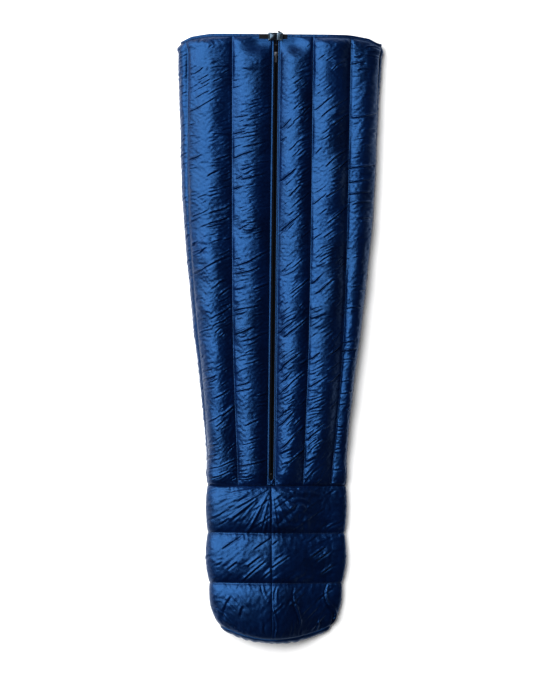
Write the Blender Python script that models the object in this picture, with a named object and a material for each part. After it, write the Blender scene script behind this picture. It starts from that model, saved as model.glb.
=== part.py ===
"""Tapered, hoodless down sleeping bag, lying flat on its back with the zipper up.

Metres, +Z up. +Y runs from the foot to the open neck, +X to the right seen from above.
The origin lies on the floor under the middle of the bag.

The quilted wall follows a ring in each cross-section: a flat front and back joined by two
round sides. A place on the ring is an arc length that starts at the middle of the front and
runs over the right side, the back and the left side. An offset is measured outwards from the
middle of the wall.
"""
import math

import bmesh
import bpy
from mathutils import Matrix, Vector

BAG_NAME = "sleeping_bag"

# Lengthwise places of the seams.
NECK_Y = 0.946
HEM_WIDTH = 0.016
WAIST_Y = -0.458
RING_SEAMS_Y = (WAIST_Y, -0.606, -0.762)
FOOT_CORNER_Y = -0.893
FOOT_CURVE = 0.045
FOOT_BULGE = 0.0085
NECK_CORNER_DROP = 0.014
NECK_CORNER_START = 0.20
NECK_CORNER_WIDTH = 0.12

# Half width of the outline, foot to neck.
HALF_WIDTHS = (
    (FOOT_CORNER_Y, 0.173), (-0.877, 0.184), (-0.815, 0.201), (-0.690, 0.2165),
    (WAIST_Y, 0.2195), (-0.192, 0.241), (0.120, 0.280), (0.431, 0.308), (NECK_Y, 0.322),
)
# How far the left and right chambers stand out sideways from the middle of the wall.
LEFT_BULGE = (
    (FOOT_CORNER_Y, 0.0075), (-0.60, 0.0125), (WAIST_Y, 0.0115), (-0.35, 0.0165), (NECK_Y, 0.0246),
)
RIGHT_BULGE = (
    (FOOT_CORNER_Y, 0.0075), (-0.60, 0.0125), (WAIST_Y, 0.0115), (-0.35, 0.0160), (NECK_Y, 0.0180),
)

# Heights of the middle of the wall, front and back.
FRONT_Z = 0.076
BACK_Z = 0.019
FOOT_FRONT_Z = 0.062
FOOT_BACK_Z = 0.020

# Seams between the front chambers: sideways place at the foot seam, half way and at the neck.
MID_SEAM_Y = 0.026
SEAM_RIGHT_1_2 = ((WAIST_Y, 0.083), (MID_SEAM_Y, 0.0972), (NECK_Y, 0.103))
SEAM_RIGHT_2_3 = ((WAIST_Y, 0.170), (MID_SEAM_Y, 0.206), (NECK_Y, 0.221))
SEAM_LEFT_2_3 = ((WAIST_Y, -0.119), (MID_SEAM_Y, -0.1396), (NECK_Y, -0.1495))
# The outermost left seam and the right side seam, in degrees round the side from the top.
SEAM_LEFT_1_2_TURN = ((WAIST_Y, 80.0), (0.15, 53.0), (NECK_Y, 30.0))
SIDE_SEAM_TURN = 70.0
# Seams on the back, right to left: sideways place at the waist and at the neck.
BACK_SEAMS_X = ((0.138, 0.200), (0.050, 0.062), (-0.038, -0.077), (-0.126, -0.215))

# Wall: half thickness at the seams and how far the chambers crown out and in between them.
SEAM_HALF = 0.006
HEM_HALF = 0.0016
ZIP_EDGE_HALF = 0.0013
CROWN_OUT = 0.0225
CROWN_IN = 0.0075
SIDE_CROWN_OUT = 0.009
CROWN_POWER = 0.62
CHAMBER_END = 0.048
HEM_TO_SEAM = 0.034

# Sheets.
FABRIC = 0.0004
GAP = 0.0003
FILL_DEPTH = FABRIC + GAP
WALL_HALF = 0.0002
WALL_CLEAR = 0.0005
RING_CLEAR = 0.0013
RING_WALL_SHIFT = -0.0007
WALL_REACH = 0.0048
RING_WALL_REACH = 0.0032

# Footbox: its front seam, the steps across a ring and the columns round it, and the foot end.
FOOT_SEAM_X = ((FOOT_CORNER_Y, -0.010), (WAIST_Y, -0.0165))
FOOT_SLIT = 0.0008
RING_STEPS = (0.0, 0.18, 0.5, 0.82, 1.0)
FLAT_COLUMNS = 4
SIDE_COLUMNS = 4
END_ROWS = 4
END_TURNS = (22.5, 45.0, 72.0)
END_CLEAR = 0.0032
END_SEAM_DROP = 0.0044
END_INNER_BULGE = 0.010

# Binding folded round the neck's edge.
BINDING_WIDTH = 0.012
BINDING_THICK = 0.0005

# Zipper, in a frame of its own: u across, v towards the neck, w up, zero on the tape's middle.
ZIP_NECK_X = -0.0125
ZIP_WAIST_X = -0.0165
ZIP_BAND = 0.007
ZIP_CHAMBER = 0.0155
TAPE_OUTER = 0.0145
TAPE_HALF = 0.0003
TAPE_INNER = 0.0007
COIL_WIDTH = 0.0025
COIL_BOTTOM = TAPE_HALF + GAP
COIL_TOP = COIL_BOTTOM + 0.0022
COIL_LOW_Y = -0.420
COIL_HIGH_Y = 0.911
STOP_LENGTH = 0.004
SLIDER_Y = 0.885
SLIDER_LENGTH = 0.013
SLIDER_HALF_WIDTH = 0.0046
SLIDER_WALL = 0.0009
WEB_HALF = 0.0004
PLATE = 0.0012
ARCH_LENGTH = 0.0084
ARCH_HEIGHT = 0.0030
ARCH_HOLE_LENGTH = 0.0058
ARCH_HOLE_HEIGHT = 0.0020
ARCH_HALF_WIDTH = 0.0012
PULL_THICK = 0.0011
PULL_WINDOW_HALF = 0.0017
PULL_WINDOW_END = 0.0055
PULL_HALF_WIDTH = 0.0032
OUTER_PULL_LENGTH = 0.026
INNER_PULL_LENGTH = 0.020

# Neck closure: webbing straps and a side-release buckle lying over the zipper's end.
STRAP_THICK = 0.0012
STRAP_W = 0.0027
STRAP_LOW_Y = NECK_Y - 0.014
LEFT_STRAP_X = (-0.066, -0.030)
RIGHT_STRAP_X = (-0.004, 0.022)
BUCKLE_W = STRAP_W + STRAP_THICK + GAP
BUCKLE_HEIGHT = 0.008
BUCKLE_WIDTH = 0.024
BUCKLE_Y = 0.939
FEMALE_X = (-0.0375, -0.0105)
MALE_X = (-0.0102, 0.0065)
BUCKLE_WALL = 0.0016
PRONG_CLEAR = 0.0004
PRONG_LENGTH = 0.019
PRONG_WIDTH = 0.0030
GUIDE_WIDTH = 0.0040
STRAP_SLOT = 0.003
STRAP_SLOT_HALF = 0.0074


def slope_at(points, index):
    """Slope of a curve through (place, value) points at one of them."""
    low = points[max(index - 1, 0)]
    high = points[min(index + 1, len(points) - 1)]
    return (high[1] - low[1]) / (high[0] - low[0])


def smooth_through(points, place):
    """Value at a place on a smooth curve through (place, value) points in rising order."""
    if place <= points[0][0]:
        return points[0][1]
    if place >= points[-1][0]:
        return points[-1][1]
    k = 0
    while points[k + 1][0] < place:
        k += 1
    width = points[k + 1][0] - points[k][0]
    t = (place - points[k][0]) / width
    return ((2 * t**3 - 3 * t**2 + 1) * points[k][1]
            + (t**3 - 2 * t**2 + t) * width * slope_at(points, k)
            + (3 * t**2 - 2 * t**3) * points[k + 1][1]
            + (t**3 - t**2) * width * slope_at(points, k + 1))


def clamp01(value):
    return min(max(value, 0.0), 1.0)


def ease(value):
    """0 to 1 with level ends."""
    value = clamp01(value)
    return value * value * (3 - 2 * value)


def lerp(a, b, t):
    return a + (b - a) * t


class Section:
    """The ring of the wall's middle at one place along the bag."""

    def __init__(self, y):
        foot = clamp01((RING_SEAMS_Y[2] - y) / (RING_SEAMS_Y[2] - FOOT_CORNER_Y))
        self.top = lerp(FRONT_Z, FOOT_FRONT_Z, ease(foot))
        self.bottom = lerp(BACK_Z, FOOT_BACK_Z, ease(foot))
        self.radius = (self.top - self.bottom) / 2
        half_width = smooth_through(HALF_WIDTHS, y)
        self.left = half_width - self.radius - smooth_through(LEFT_BULGE, y)
        self.right = half_width - self.radius - smooth_through(RIGHT_BULGE, y)
        self.side = math.pi * self.radius
        self.flat = self.left + self.right
        self.length = 2 * self.flat + 2 * self.side

    def at(self, arc):
        """Sideways place, height and outward direction at an arc length."""
        arc %= self.length
        if arc < self.right:
            return arc, self.top, 0.0, 1.0
        arc -= self.right
        middle = (self.top + self.bottom) / 2
        if arc < self.side:
            turn = arc / self.radius
            return (self.right + self.radius * math.sin(turn), middle + self.radius * math.cos(turn),
                    math.sin(turn), math.cos(turn))
        arc -= self.side
        if arc < self.flat:
            return self.right - arc, self.bottom, 0.0, -1.0
        arc -= self.flat
        if arc < self.side:
            turn = math.pi + arc / self.radius
            return (-self.left + self.radius * math.sin(turn), middle + self.radius * math.cos(turn),
                    math.sin(turn), math.cos(turn))
        arc -= self.side
        return -self.left + arc, self.top, 0.0, 1.0


def foot_curve(x):
    """How far the foot seam stands beyond its corners at a sideways place."""
    reach = HALF_WIDTHS[0][1]
    return FOOT_CURVE * max(0.0, 1 - (x / reach) ** 2)


def lengthwise(y, x):
    """The true place along the bag: the neck's corners drop back and the foot is rounded."""
    corner = ease((abs(x) - NECK_CORNER_START) / NECK_CORNER_WIDTH)
    y_out = y - NECK_CORNER_DROP * corner * ease((y - 0.70) / 0.20)
    foot = clamp01((RING_SEAMS_Y[2] - y) / (RING_SEAMS_Y[2] - FOOT_CORNER_Y))
    return y_out - foot_curve(x) * foot**1.4


def wall_point(y, arc, offset, floor=None):
    """A point of the wall; floor is the least height it may have."""
    x, z, across, up = Section(y).at(arc)
    height = z + up * offset
    if floor is not None:
        height = max(height, floor)
    return Vector((x + across * offset, lengthwise(y, x), height))


def zip_x(y):
    return lerp(ZIP_WAIST_X, ZIP_NECK_X, (y - WAIST_Y) / (NECK_Y - WAIST_Y))


def front_arc(points):
    """Arc length of a seam on the front, as a function of the place along the bag."""
    return lambda y: smooth_through(points, y) % Section(y).length


def side_seam_arc(y):
    section = Section(y)
    return section.right + section.radius * math.radians(SIDE_SEAM_TURN)


def left_seam_arc(y):
    section = Section(y)
    turn = math.radians(smooth_through(SEAM_LEFT_1_2_TURN, y))
    return section.length - section.left - section.radius * turn


def back_arc(waist_x, neck_x):
    """Arc length of a seam on the back."""
    def arc(y):
        section = Section(y)
        x = lerp(waist_x, neck_x, (y - WAIST_Y) / (NECK_Y - WAIST_Y))
        return section.right + section.side + section.right - x
    return arc


def zip_right_arc(y):
    return zip_x(y) + ZIP_CHAMBER


def zip_left_arc(y):
    return Section(y).length + zip_x(y) - ZIP_CHAMBER


class Chamber:
    """One lengthwise down chamber between two seams."""

    def __init__(self, name, start, end, columns, zip_start=False, zip_end=False):
        self.name = name
        self.start = start
        self.end = end
        self.columns = columns
        self.zip_start = zip_start
        self.zip_end = zip_end

    def arc(self, y, t):
        return lerp(self.start(y), self.end(y), t)

    def halves(self, y, t):
        """How far the wall reaches out and in from its middle."""
        seam = lerp(HEM_HALF, SEAM_HALF, ease((NECK_Y - HEM_WIDTH - y) / HEM_TO_SEAM))
        edge = min(ZIP_EDGE_HALF, seam)
        if self.zip_start:
            seam = lerp(edge, seam, min(1.0, 4 * t))
        if self.zip_end:
            seam = lerp(edge, seam, min(1.0, 4 * (1 - t)))
        neck = math.sqrt(clamp01((NECK_Y - HEM_WIDTH - y) / CHAMBER_END))
        waist = math.sqrt(clamp01((y - WAIST_Y) / CHAMBER_END))
        crown = (1 - (2 * t - 1) ** 2) ** CROWN_POWER * neck * waist
        return seam + CROWN_OUT * crown, seam + CROWN_IN * crown


TORSO_ARCS = [
    zip_right_arc, front_arc(SEAM_RIGHT_1_2), front_arc(SEAM_RIGHT_2_3), side_seam_arc,
    *[back_arc(*pair) for pair in BACK_SEAMS_X],
    left_seam_arc, front_arc(SEAM_LEFT_2_3), zip_left_arc,
]
TORSO_NAMES = (
    ("fill_right_1", 5), ("fill_right_2", 5), ("fill_right_3", 6), ("fill_back_1", 7),
    ("fill_back_2", 4), ("fill_back_3", 4), ("fill_back_4", 4), ("fill_left_1", 9),
    ("fill_left_2", 5), ("fill_left_3", 5),
)
CHAMBERS = [
    Chamber(name, TORSO_ARCS[i], TORSO_ARCS[i + 1], columns,
            zip_start=i == 0, zip_end=i == len(TORSO_NAMES) - 1)
    for i, (name, columns) in enumerate(TORSO_NAMES)
]
TORSO_STATIONS = (
    WAIST_Y, -0.446, -0.410, -0.20, 0.12, 0.43, 0.72, 0.885, NECK_Y - HEM_WIDTH, NECK_Y,
)


def make_object(name, mesh, material, collection):
    mesh.materials.append(material)
    obj = bpy.data.objects.new(name, mesh)
    collection.objects.link(obj)
    return obj


def loft_solid(name, outer, inner, material, collection):
    """Closed solid between two grids of points, with its four edges closed."""
    bm = bmesh.new()
    rows = len(outer)
    columns = len(outer[0])
    top = [[bm.verts.new(p) for p in row] for row in outer]
    low = [[bm.verts.new(p) for p in row] for row in inner]
    for i in range(rows - 1):
        for j in range(columns - 1):
            for grid in (top, low):
                bm.faces.new((grid[i][j], grid[i + 1][j], grid[i + 1][j + 1]))
                bm.faces.new((grid[i][j], grid[i + 1][j + 1], grid[i][j + 1]))
    rim = [(i, 0) for i in range(rows)]
    rim += [(rows - 1, j) for j in range(1, columns)]
    rim += [(i, columns - 1) for i in range(rows - 2, -1, -1)]
    rim += [(0, j) for j in range(columns - 2, 0, -1)]
    for (i, j), (k, m) in zip(rim, rim[1:] + rim[:1]):
        if i > k:
            bm.faces.new((top[i][j], top[k][m], low[k][m]))
            bm.faces.new((top[i][j], low[k][m], low[i][j]))
        else:
            bm.faces.new((top[i][j], top[k][m], low[i][j]))
            bm.faces.new((top[k][m], low[k][m], low[i][j]))
    bmesh.ops.recalc_face_normals(bm, faces=bm.faces)
    mesh = bpy.data.meshes.new(name)
    bm.to_mesh(mesh)
    bm.free()
    return make_object(name, mesh, material, collection)


def chamber_fill(chamber, material, collection):
    """The down in one chamber."""
    outer = []
    inner = []
    for station in TORSO_STATIONS[:-1]:
        y = min(max(station, WAIST_Y + RING_CLEAR), NECK_Y - HEM_WIDTH - RING_CLEAR)
        first = chamber.start(y) + WALL_CLEAR
        last = chamber.end(y) - WALL_CLEAR
        outer_row = []
        inner_row = []
        for k in range(chamber.columns + 1):
            t = k / chamber.columns
            out, into = chamber.halves(station, t)
            arc = min(max(chamber.arc(y, t), first), last)
            outer_row.append(wall_point(y, arc, out - FILL_DEPTH, floor=FILL_DEPTH))
            inner_row.append(wall_point(y, arc, FILL_DEPTH - into))
        outer.append(outer_row)
        inner.append(inner_row)
    return loft_solid(chamber.name, outer, inner, material, collection)


def panel_rows(chambers, side, depth, trim_start, trim_end):
    """Rows of points of a fabric panel over a run of chambers; side is 1 out, -1 in."""
    rows = []
    for y in TORSO_STATIONS:
        row = []
        place = y
        if y == WAIST_Y:
            place = y + GAP / 2
        for chamber in chambers:
            for k in range(chamber.columns + 1):
                if chamber is not chambers[0] and k == 0:
                    continue
                t = k / chamber.columns
                arc = chamber.arc(place, t)
                if chamber is chambers[0] and k == 0:
                    arc += trim_start
                if chamber is chambers[-1] and k == chamber.columns:
                    arc -= trim_end
                out, into = chamber.halves(y, t)
                if side > 0:
                    row.append(wall_point(place, arc, out - depth, floor=depth))
                else:
                    row.append(wall_point(place, arc, depth - into))
        if chambers[0].zip_start:
            row.insert(0, wall_point(place, zip_x(place) + ZIP_BAND, side * (0.0010 - depth)))
        if chambers[-1].zip_end:
            row.append(wall_point(place, zip_x(place) - ZIP_BAND, side * (0.0010 - depth)))
        rows.append(row)
    return rows


def torso_panel(name, chambers, side, material, collection):
    trim_start = 0.0 if chambers[0].zip_start else GAP / 2
    trim_end = 0.0 if chambers[-1].zip_end else GAP / 2
    outer = panel_rows(chambers, side, 0.0, trim_start, trim_end)
    inner = panel_rows(chambers, side, FABRIC, trim_start, trim_end)
    return loft_solid(name, outer, inner, material, collection)


def torso_wall(name, arc_at, material, collection):
    """A lengthwise baffle wall standing on a seam line."""
    stations = [WAIST_Y + RING_CLEAR, *TORSO_STATIONS[1:-2]]
    faces = []
    for shift in (WALL_HALF, -WALL_HALF):
        faces.append([[wall_point(y, arc_at(y) + shift, reach) for reach in (-WALL_REACH, WALL_REACH)]
                      for y in stations])
    return loft_solid(name, faces[0], faces[1], material, collection)


# ---- Footbox -------------------------------------------------------------------------------
def ring_arcs(y, inset=0.0):
    """Arc lengths of the footbox columns, from the front seam right round to it again."""
    section = Section(y)
    seam = smooth_through(FOOT_SEAM_X, y)
    start = seam + FOOT_SLIT / 2 + inset
    end = section.length + seam - FOOT_SLIT / 2 - inset
    arcs = [lerp(start, section.right, k / FLAT_COLUMNS) for k in range(FLAT_COLUMNS)]
    arcs += [section.right + section.side * k / SIDE_COLUMNS for k in range(SIDE_COLUMNS)]
    back = section.right + section.side
    arcs += [back + section.flat * k / (2 * FLAT_COLUMNS) for k in range(2 * FLAT_COLUMNS)]
    left = back + section.flat
    arcs += [left + section.side * k / SIDE_COLUMNS for k in range(SIDE_COLUMNS)]
    front = left + section.side
    arcs += [lerp(front, end, k / FLAT_COLUMNS) for k in range(FLAT_COLUMNS + 1)]
    return arcs


def ring_halves(y, arc, v):
    """Reach of a footbox ring out and in, where v runs from one ring seam to the next."""
    up = abs(Section(y).at(arc)[3])
    crown = (1 - (2 * v - 1) ** 2) ** CROWN_POWER
    return SEAM_HALF + lerp(SIDE_CROWN_OUT, CROWN_OUT, up) * crown, SEAM_HALF + CROWN_IN * crown


def ring_bounds(index):
    low = RING_SEAMS_Y[index + 1] if index < 2 else FOOT_CORNER_Y
    return RING_SEAMS_Y[index], low


def ring_rows(index, depth, side, clear, inset):
    """Point rows of one ring, neck side first."""
    high, low = ring_bounds(index)
    rows = []
    for v in RING_STEPS:
        y = min(max(lerp(high, low, v), low + clear), high - clear)
        row = []
        for arc in ring_arcs(y, inset):
            out, into = ring_halves(y, arc, v)
            if side > 0:
                row.append(wall_point(y, arc, out - depth, floor=depth))
            else:
                row.append(wall_point(y, arc, depth - into))
        rows.append(row)
    return rows


def ring_fill(index, material, collection):
    outer = ring_rows(index, FILL_DEPTH, 1, RING_CLEAR, WALL_CLEAR)
    inner = ring_rows(index, FILL_DEPTH, -1, RING_CLEAR, WALL_CLEAR)
    return loft_solid(f"fill_foot_{index + 1}", outer, inner, material, collection)


def footbox_panel(name, side, material, collection):
    faces = []
    for depth in (0.0, FABRIC):
        rows = []
        for index in range(3):
            ring = ring_rows(index, depth, side, 0.0, 0.0)
            if index == 0:
                ring[0] = [Vector((p.x, p.y - GAP / 2, p.z)) for p in ring[0]]
            rows += ring if index == 0 else ring[1:]
        faces.append(rows)
    return loft_solid(name, faces[0], faces[1], material, collection)


def ring_wall(name, y, material, collection):
    """A baffle wall across the footbox that follows the ring."""
    faces = []
    for shift in (RING_WALL_SHIFT + WALL_HALF, RING_WALL_SHIFT - WALL_HALF):
        rows = []
        for reach in (-RING_WALL_REACH, RING_WALL_REACH):
            row = [wall_point(y, arc, reach) for arc in ring_arcs(y, WALL_CLEAR)]
            rows.append([Vector((p.x, p.y + shift, p.z)) for p in row])
        faces.append(rows)
    return loft_solid(name, faces[0], faces[1], material, collection)


def end_places(section):
    """Columns of the end panel: the flat stretch, then the turns of its two round sides."""
    places = [("left", turn) for turn in reversed(END_TURNS)]
    places += [("flat", k / (2 * FLAT_COLUMNS)) for k in range(2 * FLAT_COLUMNS + 1)]
    places += [("right", turn) for turn in END_TURNS]
    return places


def end_grid(offset, drop, bulge):
    """Grid over the foot end's outline, grown by offset and domed by bulge towards the foot."""
    section = Section(FOOT_CORNER_Y)
    reach = section.radius + offset
    middle = (section.top + section.bottom) / 2
    rows = []
    for kind, value in end_places(section):
        half = reach
        crest = 1.0
        if kind == "flat":
            x = lerp(-section.left, section.right, value)
            seam_x = x
        else:
            turn = math.radians(value)
            half = reach * math.cos(turn)
            crest = math.cos(turn)
            x = section.right + reach * math.sin(turn)
            seam_x = section.right + section.radius * math.sin(turn)
            if kind == "left":
                x = -section.left - reach * math.sin(turn)
                seam_x = -section.left - section.radius * math.sin(turn)
        row = []
        for k in range(END_ROWS + 1):
            share = 2 * k / END_ROWS - 1
            dome = crest * (1 - share * share)
            y = FOOT_CORNER_Y - foot_curve(seam_x) - drop - bulge * dome
            row.append(Vector((x, y, middle + half * share)))
        rows.append(row)
    return rows


def foot_end(materials, collection):
    """The foot-end pad: shell, down and lining."""
    shell_outer = end_grid(SEAM_HALF, END_SEAM_DROP + FABRIC, FOOT_BULGE)
    shell_inner = end_grid(SEAM_HALF, END_SEAM_DROP, FOOT_BULGE)
    loft_solid("shell_foot_end", shell_outer, shell_inner, materials["shell"], collection)
    fill_outer = end_grid(SEAM_HALF - FILL_DEPTH, END_SEAM_DROP - GAP, FOOT_BULGE)
    fill_inner = end_grid(-SEAM_HALF - GAP, END_CLEAR, -END_INNER_BULGE)
    loft_solid("fill_foot_end", fill_outer, fill_inner, materials["down"], collection)
    lining_outer = end_grid(-SEAM_HALF - GAP, END_CLEAR - GAP, -END_INNER_BULGE)
    lining_inner = end_grid(-SEAM_HALF - GAP, END_CLEAR - GAP - FABRIC, -END_INNER_BULGE)
    loft_solid("lining_foot_end", lining_outer, lining_inner, materials["lining"], collection)


# ---- Neck binding --------------------------------------------------------------------------
def neck_binding(material, collection):
    """Strip folded round the open end's edge, from one side of the zipper to the other."""
    def rows(offset, cap):
        profile = ((NECK_Y - BINDING_WIDTH, 0.0, offset), (NECK_Y, cap, offset),
                   (NECK_Y, cap, -offset), (NECK_Y - BINDING_WIDTH, 0.0, -offset))
        grid = []
        for y, shift, reach in profile:
            arcs = [zip_x(y) + ZIP_BAND]
            for chamber in CHAMBERS:
                arcs += [chamber.arc(y, k / chamber.columns) for k in range(chamber.columns)]
            arcs += [CHAMBERS[-1].end(y), Section(y).length + zip_x(y) - ZIP_BAND]
            points = [wall_point(y, arc, reach) for arc in arcs]
            grid.append([Vector((p.x, p.y + shift, p.z)) for p in points])
        return grid
    inner = rows(HEM_HALF + GAP, GAP)
    outer = rows(HEM_HALF + GAP + BINDING_THICK, GAP + BINDING_THICK)
    return loft_solid("neck_binding", outer, inner, material, collection)


# ---- Hardware ------------------------------------------------------------------------------
ZIP_TURN = math.atan2(ZIP_WAIST_X - ZIP_NECK_X, NECK_Y - WAIST_Y)


def zip_place(y):
    """World place of the zipper's middle."""
    return Vector((zip_x(y), y, FRONT_Z))


def place_on_zip(obj, y, height=0.0):
    obj.location = zip_place(y) + Vector((0, 0, height))
    obj.rotation_euler = (0, 0, ZIP_TURN)
    return obj


def box_mesh(name, low, high):
    """Mesh of a box between two corners."""
    bm = bmesh.new()
    bmesh.ops.create_cube(bm, size=1.0)
    size = Vector(high) - Vector(low)
    middle = (Vector(high) + Vector(low)) / 2
    bmesh.ops.transform(bm, matrix=Matrix.Translation(middle) @ Matrix.Diagonal((*size, 1)), verts=bm.verts)
    mesh = bpy.data.meshes.new(name)
    bm.to_mesh(mesh)
    bm.free()
    return mesh


def box(name, low, high, material, collection):
    return make_object(name, box_mesh(name, low, high), material, collection)


def shape(obj, tool_low, tool_high, operation, cutters):
    """Adds a box to an object, or cuts one from it, with a Boolean modifier."""
    tool = bpy.data.objects.new(f"tool_{obj.name}_{len(obj.modifiers)}",
                                box_mesh("tool", tool_low, tool_high))
    cutters.objects.link(tool)
    tool.parent = obj
    tool.hide_render = True
    tool.display_type = "WIRE"
    modifier = obj.modifiers.new(operation.lower(), "BOOLEAN")
    modifier.operation = operation
    modifier.object = tool


def zipper_rows(materials, collection):
    """Tapes, coils and their stops on both sides of the zipper."""
    tape_low = WAIST_Y + RING_CLEAR
    tape_high = NECK_Y - GAP
    for side, name in ((-1, "left"), (1, "right")):
        def across(a, b):
            return sorted((side * a, side * b))
        u_low, u_high = across(TAPE_INNER, TAPE_OUTER)
        tape = box(f"zip_tape_{name}", (u_low, tape_low - SLIDER_Y, -TAPE_HALF),
                   (u_high, tape_high - SLIDER_Y, TAPE_HALF), materials["tape"], collection)
        place_on_zip(tape, SLIDER_Y)
        u_low, u_high = across(TAPE_INNER, TAPE_INNER + COIL_WIDTH)
        coil = box(f"zip_coil_{name}", (u_low, COIL_LOW_Y - SLIDER_Y, COIL_BOTTOM),
                   (u_high, COIL_HIGH_Y - SLIDER_Y, COIL_TOP), materials["coil"], collection)
        place_on_zip(coil, SLIDER_Y)
        stop = box(f"top_stop_{name}", (u_low, GAP, COIL_BOTTOM),
                   (u_high, GAP + STOP_LENGTH, COIL_TOP), materials["metal"], collection)
        place_on_zip(stop, COIL_HIGH_Y)
    reach = TAPE_INNER + COIL_WIDTH
    stop = box("bottom_stop", (-reach, -GAP - STOP_LENGTH, COIL_BOTTOM), (reach, -GAP, COIL_TOP),
               materials["metal"], collection)
    place_on_zip(stop, COIL_LOW_Y)


SLIDER_TOP = COIL_TOP + GAP + PLATE
SLIDER_BOTTOM = -TAPE_HALF - GAP - PLATE
PULL_AXIS_UP = SLIDER_TOP + 0.00095
PULL_AXIS_DOWN = SLIDER_BOTTOM - 0.00095


def zipper_slider(materials, collection, cutters):
    """Two plates joined by a thin web that runs between the coils, with a lug for each pull."""
    half = SLIDER_LENGTH / 2
    sink = 0.0002
    slider = box("zip_slider", (-SLIDER_HALF_WIDTH, -half, SLIDER_TOP - PLATE),
                 (SLIDER_HALF_WIDTH, half, SLIDER_TOP), materials["metal"], collection)
    shape(slider, (-WEB_HALF, half - 0.0055, SLIDER_BOTTOM + sink),
          (WEB_HALF, half - 0.0005, SLIDER_TOP - sink), "UNION", cutters)
    shape(slider, (-SLIDER_HALF_WIDTH, -half, SLIDER_BOTTOM),
          (SLIDER_HALF_WIDTH, half, SLIDER_BOTTOM + PLATE), "UNION", cutters)
    wall_inner = SLIDER_HALF_WIDTH - SLIDER_WALL
    for low, high in ((-SLIDER_HALF_WIDTH, -wall_inner), (wall_inner, SLIDER_HALF_WIDTH)):
        shape(slider, (low, -half, TAPE_HALF + 2 * GAP), (high, half, SLIDER_TOP - sink),
              "UNION", cutters)
    for side, face in ((1, SLIDER_TOP), (-1, SLIDER_BOTTOM)):
        lug = sorted((face - side * sink, face + side * ARCH_HEIGHT))
        hole = sorted((face, face + side * ARCH_HOLE_HEIGHT))
        shape(slider, (-ARCH_HALF_WIDTH, -ARCH_LENGTH / 2, lug[0]),
              (ARCH_HALF_WIDTH, ARCH_LENGTH / 2, lug[1]), "UNION", cutters)
        shape(slider, (-2 * ARCH_HALF_WIDTH, -ARCH_HOLE_LENGTH / 2, hole[0]),
              (2 * ARCH_HALF_WIDTH, ARCH_HOLE_LENGTH / 2, hole[1]), "DIFFERENCE", cutters)
    return place_on_zip(slider, SLIDER_Y)


def zipper_pull(name, length, axis_height, material, collection, cutters):
    """A flat tab whose cross bar lies under the slider's lug; its origin is on the bar's axis."""
    half = PULL_THICK / 2
    pull = box(name, (-PULL_HALF_WIDTH, -length, -half), (PULL_HALF_WIDTH, half, half),
               material, collection)
    shape(pull, (-PULL_WINDOW_HALF, -PULL_WINDOW_END, -2 * half), (PULL_WINDOW_HALF, -half, 2 * half),
          "DIFFERENCE", cutters)
    return place_on_zip(pull, SLIDER_Y, axis_height)


def neck_closure(materials, collection, cutters):
    """Two webbing straps sewn on the hem and the buckle that joins them over the zipper."""
    low = FRONT_Z + STRAP_W
    high = low + STRAP_THICK
    box("strap_left", (LEFT_STRAP_X[0], STRAP_LOW_Y, low), (LEFT_STRAP_X[1], NECK_Y, high),
        materials["webbing"], collection)
    strap_with_tail(low, materials["webbing"], collection)
    buckle_low = FRONT_Z + BUCKLE_W
    middle = Vector((FEMALE_X[1], BUCKLE_Y, buckle_low + BUCKLE_HEIGHT / 2))
    female_half(middle, materials["plastic"], collection, cutters)
    male_half(middle, materials["plastic"], collection, cutters)


def strap_with_tail(low, material, collection):
    """The right strap and its free tail, one flat outline of webbing."""
    outline = (
        (RIGHT_STRAP_X[0], STRAP_LOW_Y), (RIGHT_STRAP_X[1], STRAP_LOW_Y), (RIGHT_STRAP_X[1], NECK_Y),
        (0.0100, NECK_Y), (0.0065, 0.9515), (-0.0055, 0.9580), (-0.0078, 0.9540), (0.0015, NECK_Y),
        (RIGHT_STRAP_X[0], NECK_Y),
    )
    curve = bpy.data.curves.new("strap_right", "CURVE")
    curve.dimensions = "2D"
    curve.fill_mode = "BOTH"
    curve.extrude = STRAP_THICK / 2
    spline = curve.splines.new("POLY")
    spline.points.add(len(outline) - 1)
    for point, (x, y) in zip(spline.points, outline):
        point.co = (x, y, 0, 1)
    spline.use_cyclic_u = True
    curve.materials.append(material)
    strap = bpy.data.objects.new("strap_right", curve)
    strap.location.z = low + STRAP_THICK / 2
    collection.objects.link(strap)


def female_half(middle, material, collection, cutters):
    """Socket half: a housing open to the right, with a window in each side and a strap slot."""
    length = FEMALE_X[1] - FEMALE_X[0]
    half_width = BUCKLE_WIDTH / 2
    half_height = BUCKLE_HEIGHT / 2
    female = box("buckle_female", (-length, -half_width, -half_height), (0, half_width, half_height),
                 material, collection)
    depth = PRONG_LENGTH + 0.0010
    room_width = half_width - BUCKLE_WALL
    room_height = half_height - BUCKLE_WALL
    shape(female, (-depth, -room_width, -room_height), (0.001, room_width, room_height),
          "DIFFERENCE", cutters)
    shape(female, (-depth + 0.002, -2 * half_width, -room_height),
          (-depth + 0.011, 2 * half_width, room_height), "DIFFERENCE", cutters)
    shape(female, (-length + 0.0014, -STRAP_SLOT_HALF, -2 * half_height),
          (-length + 0.0014 + STRAP_SLOT, STRAP_SLOT_HALF, 2 * half_height), "DIFFERENCE", cutters)
    female.location = middle
    return female


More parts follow.
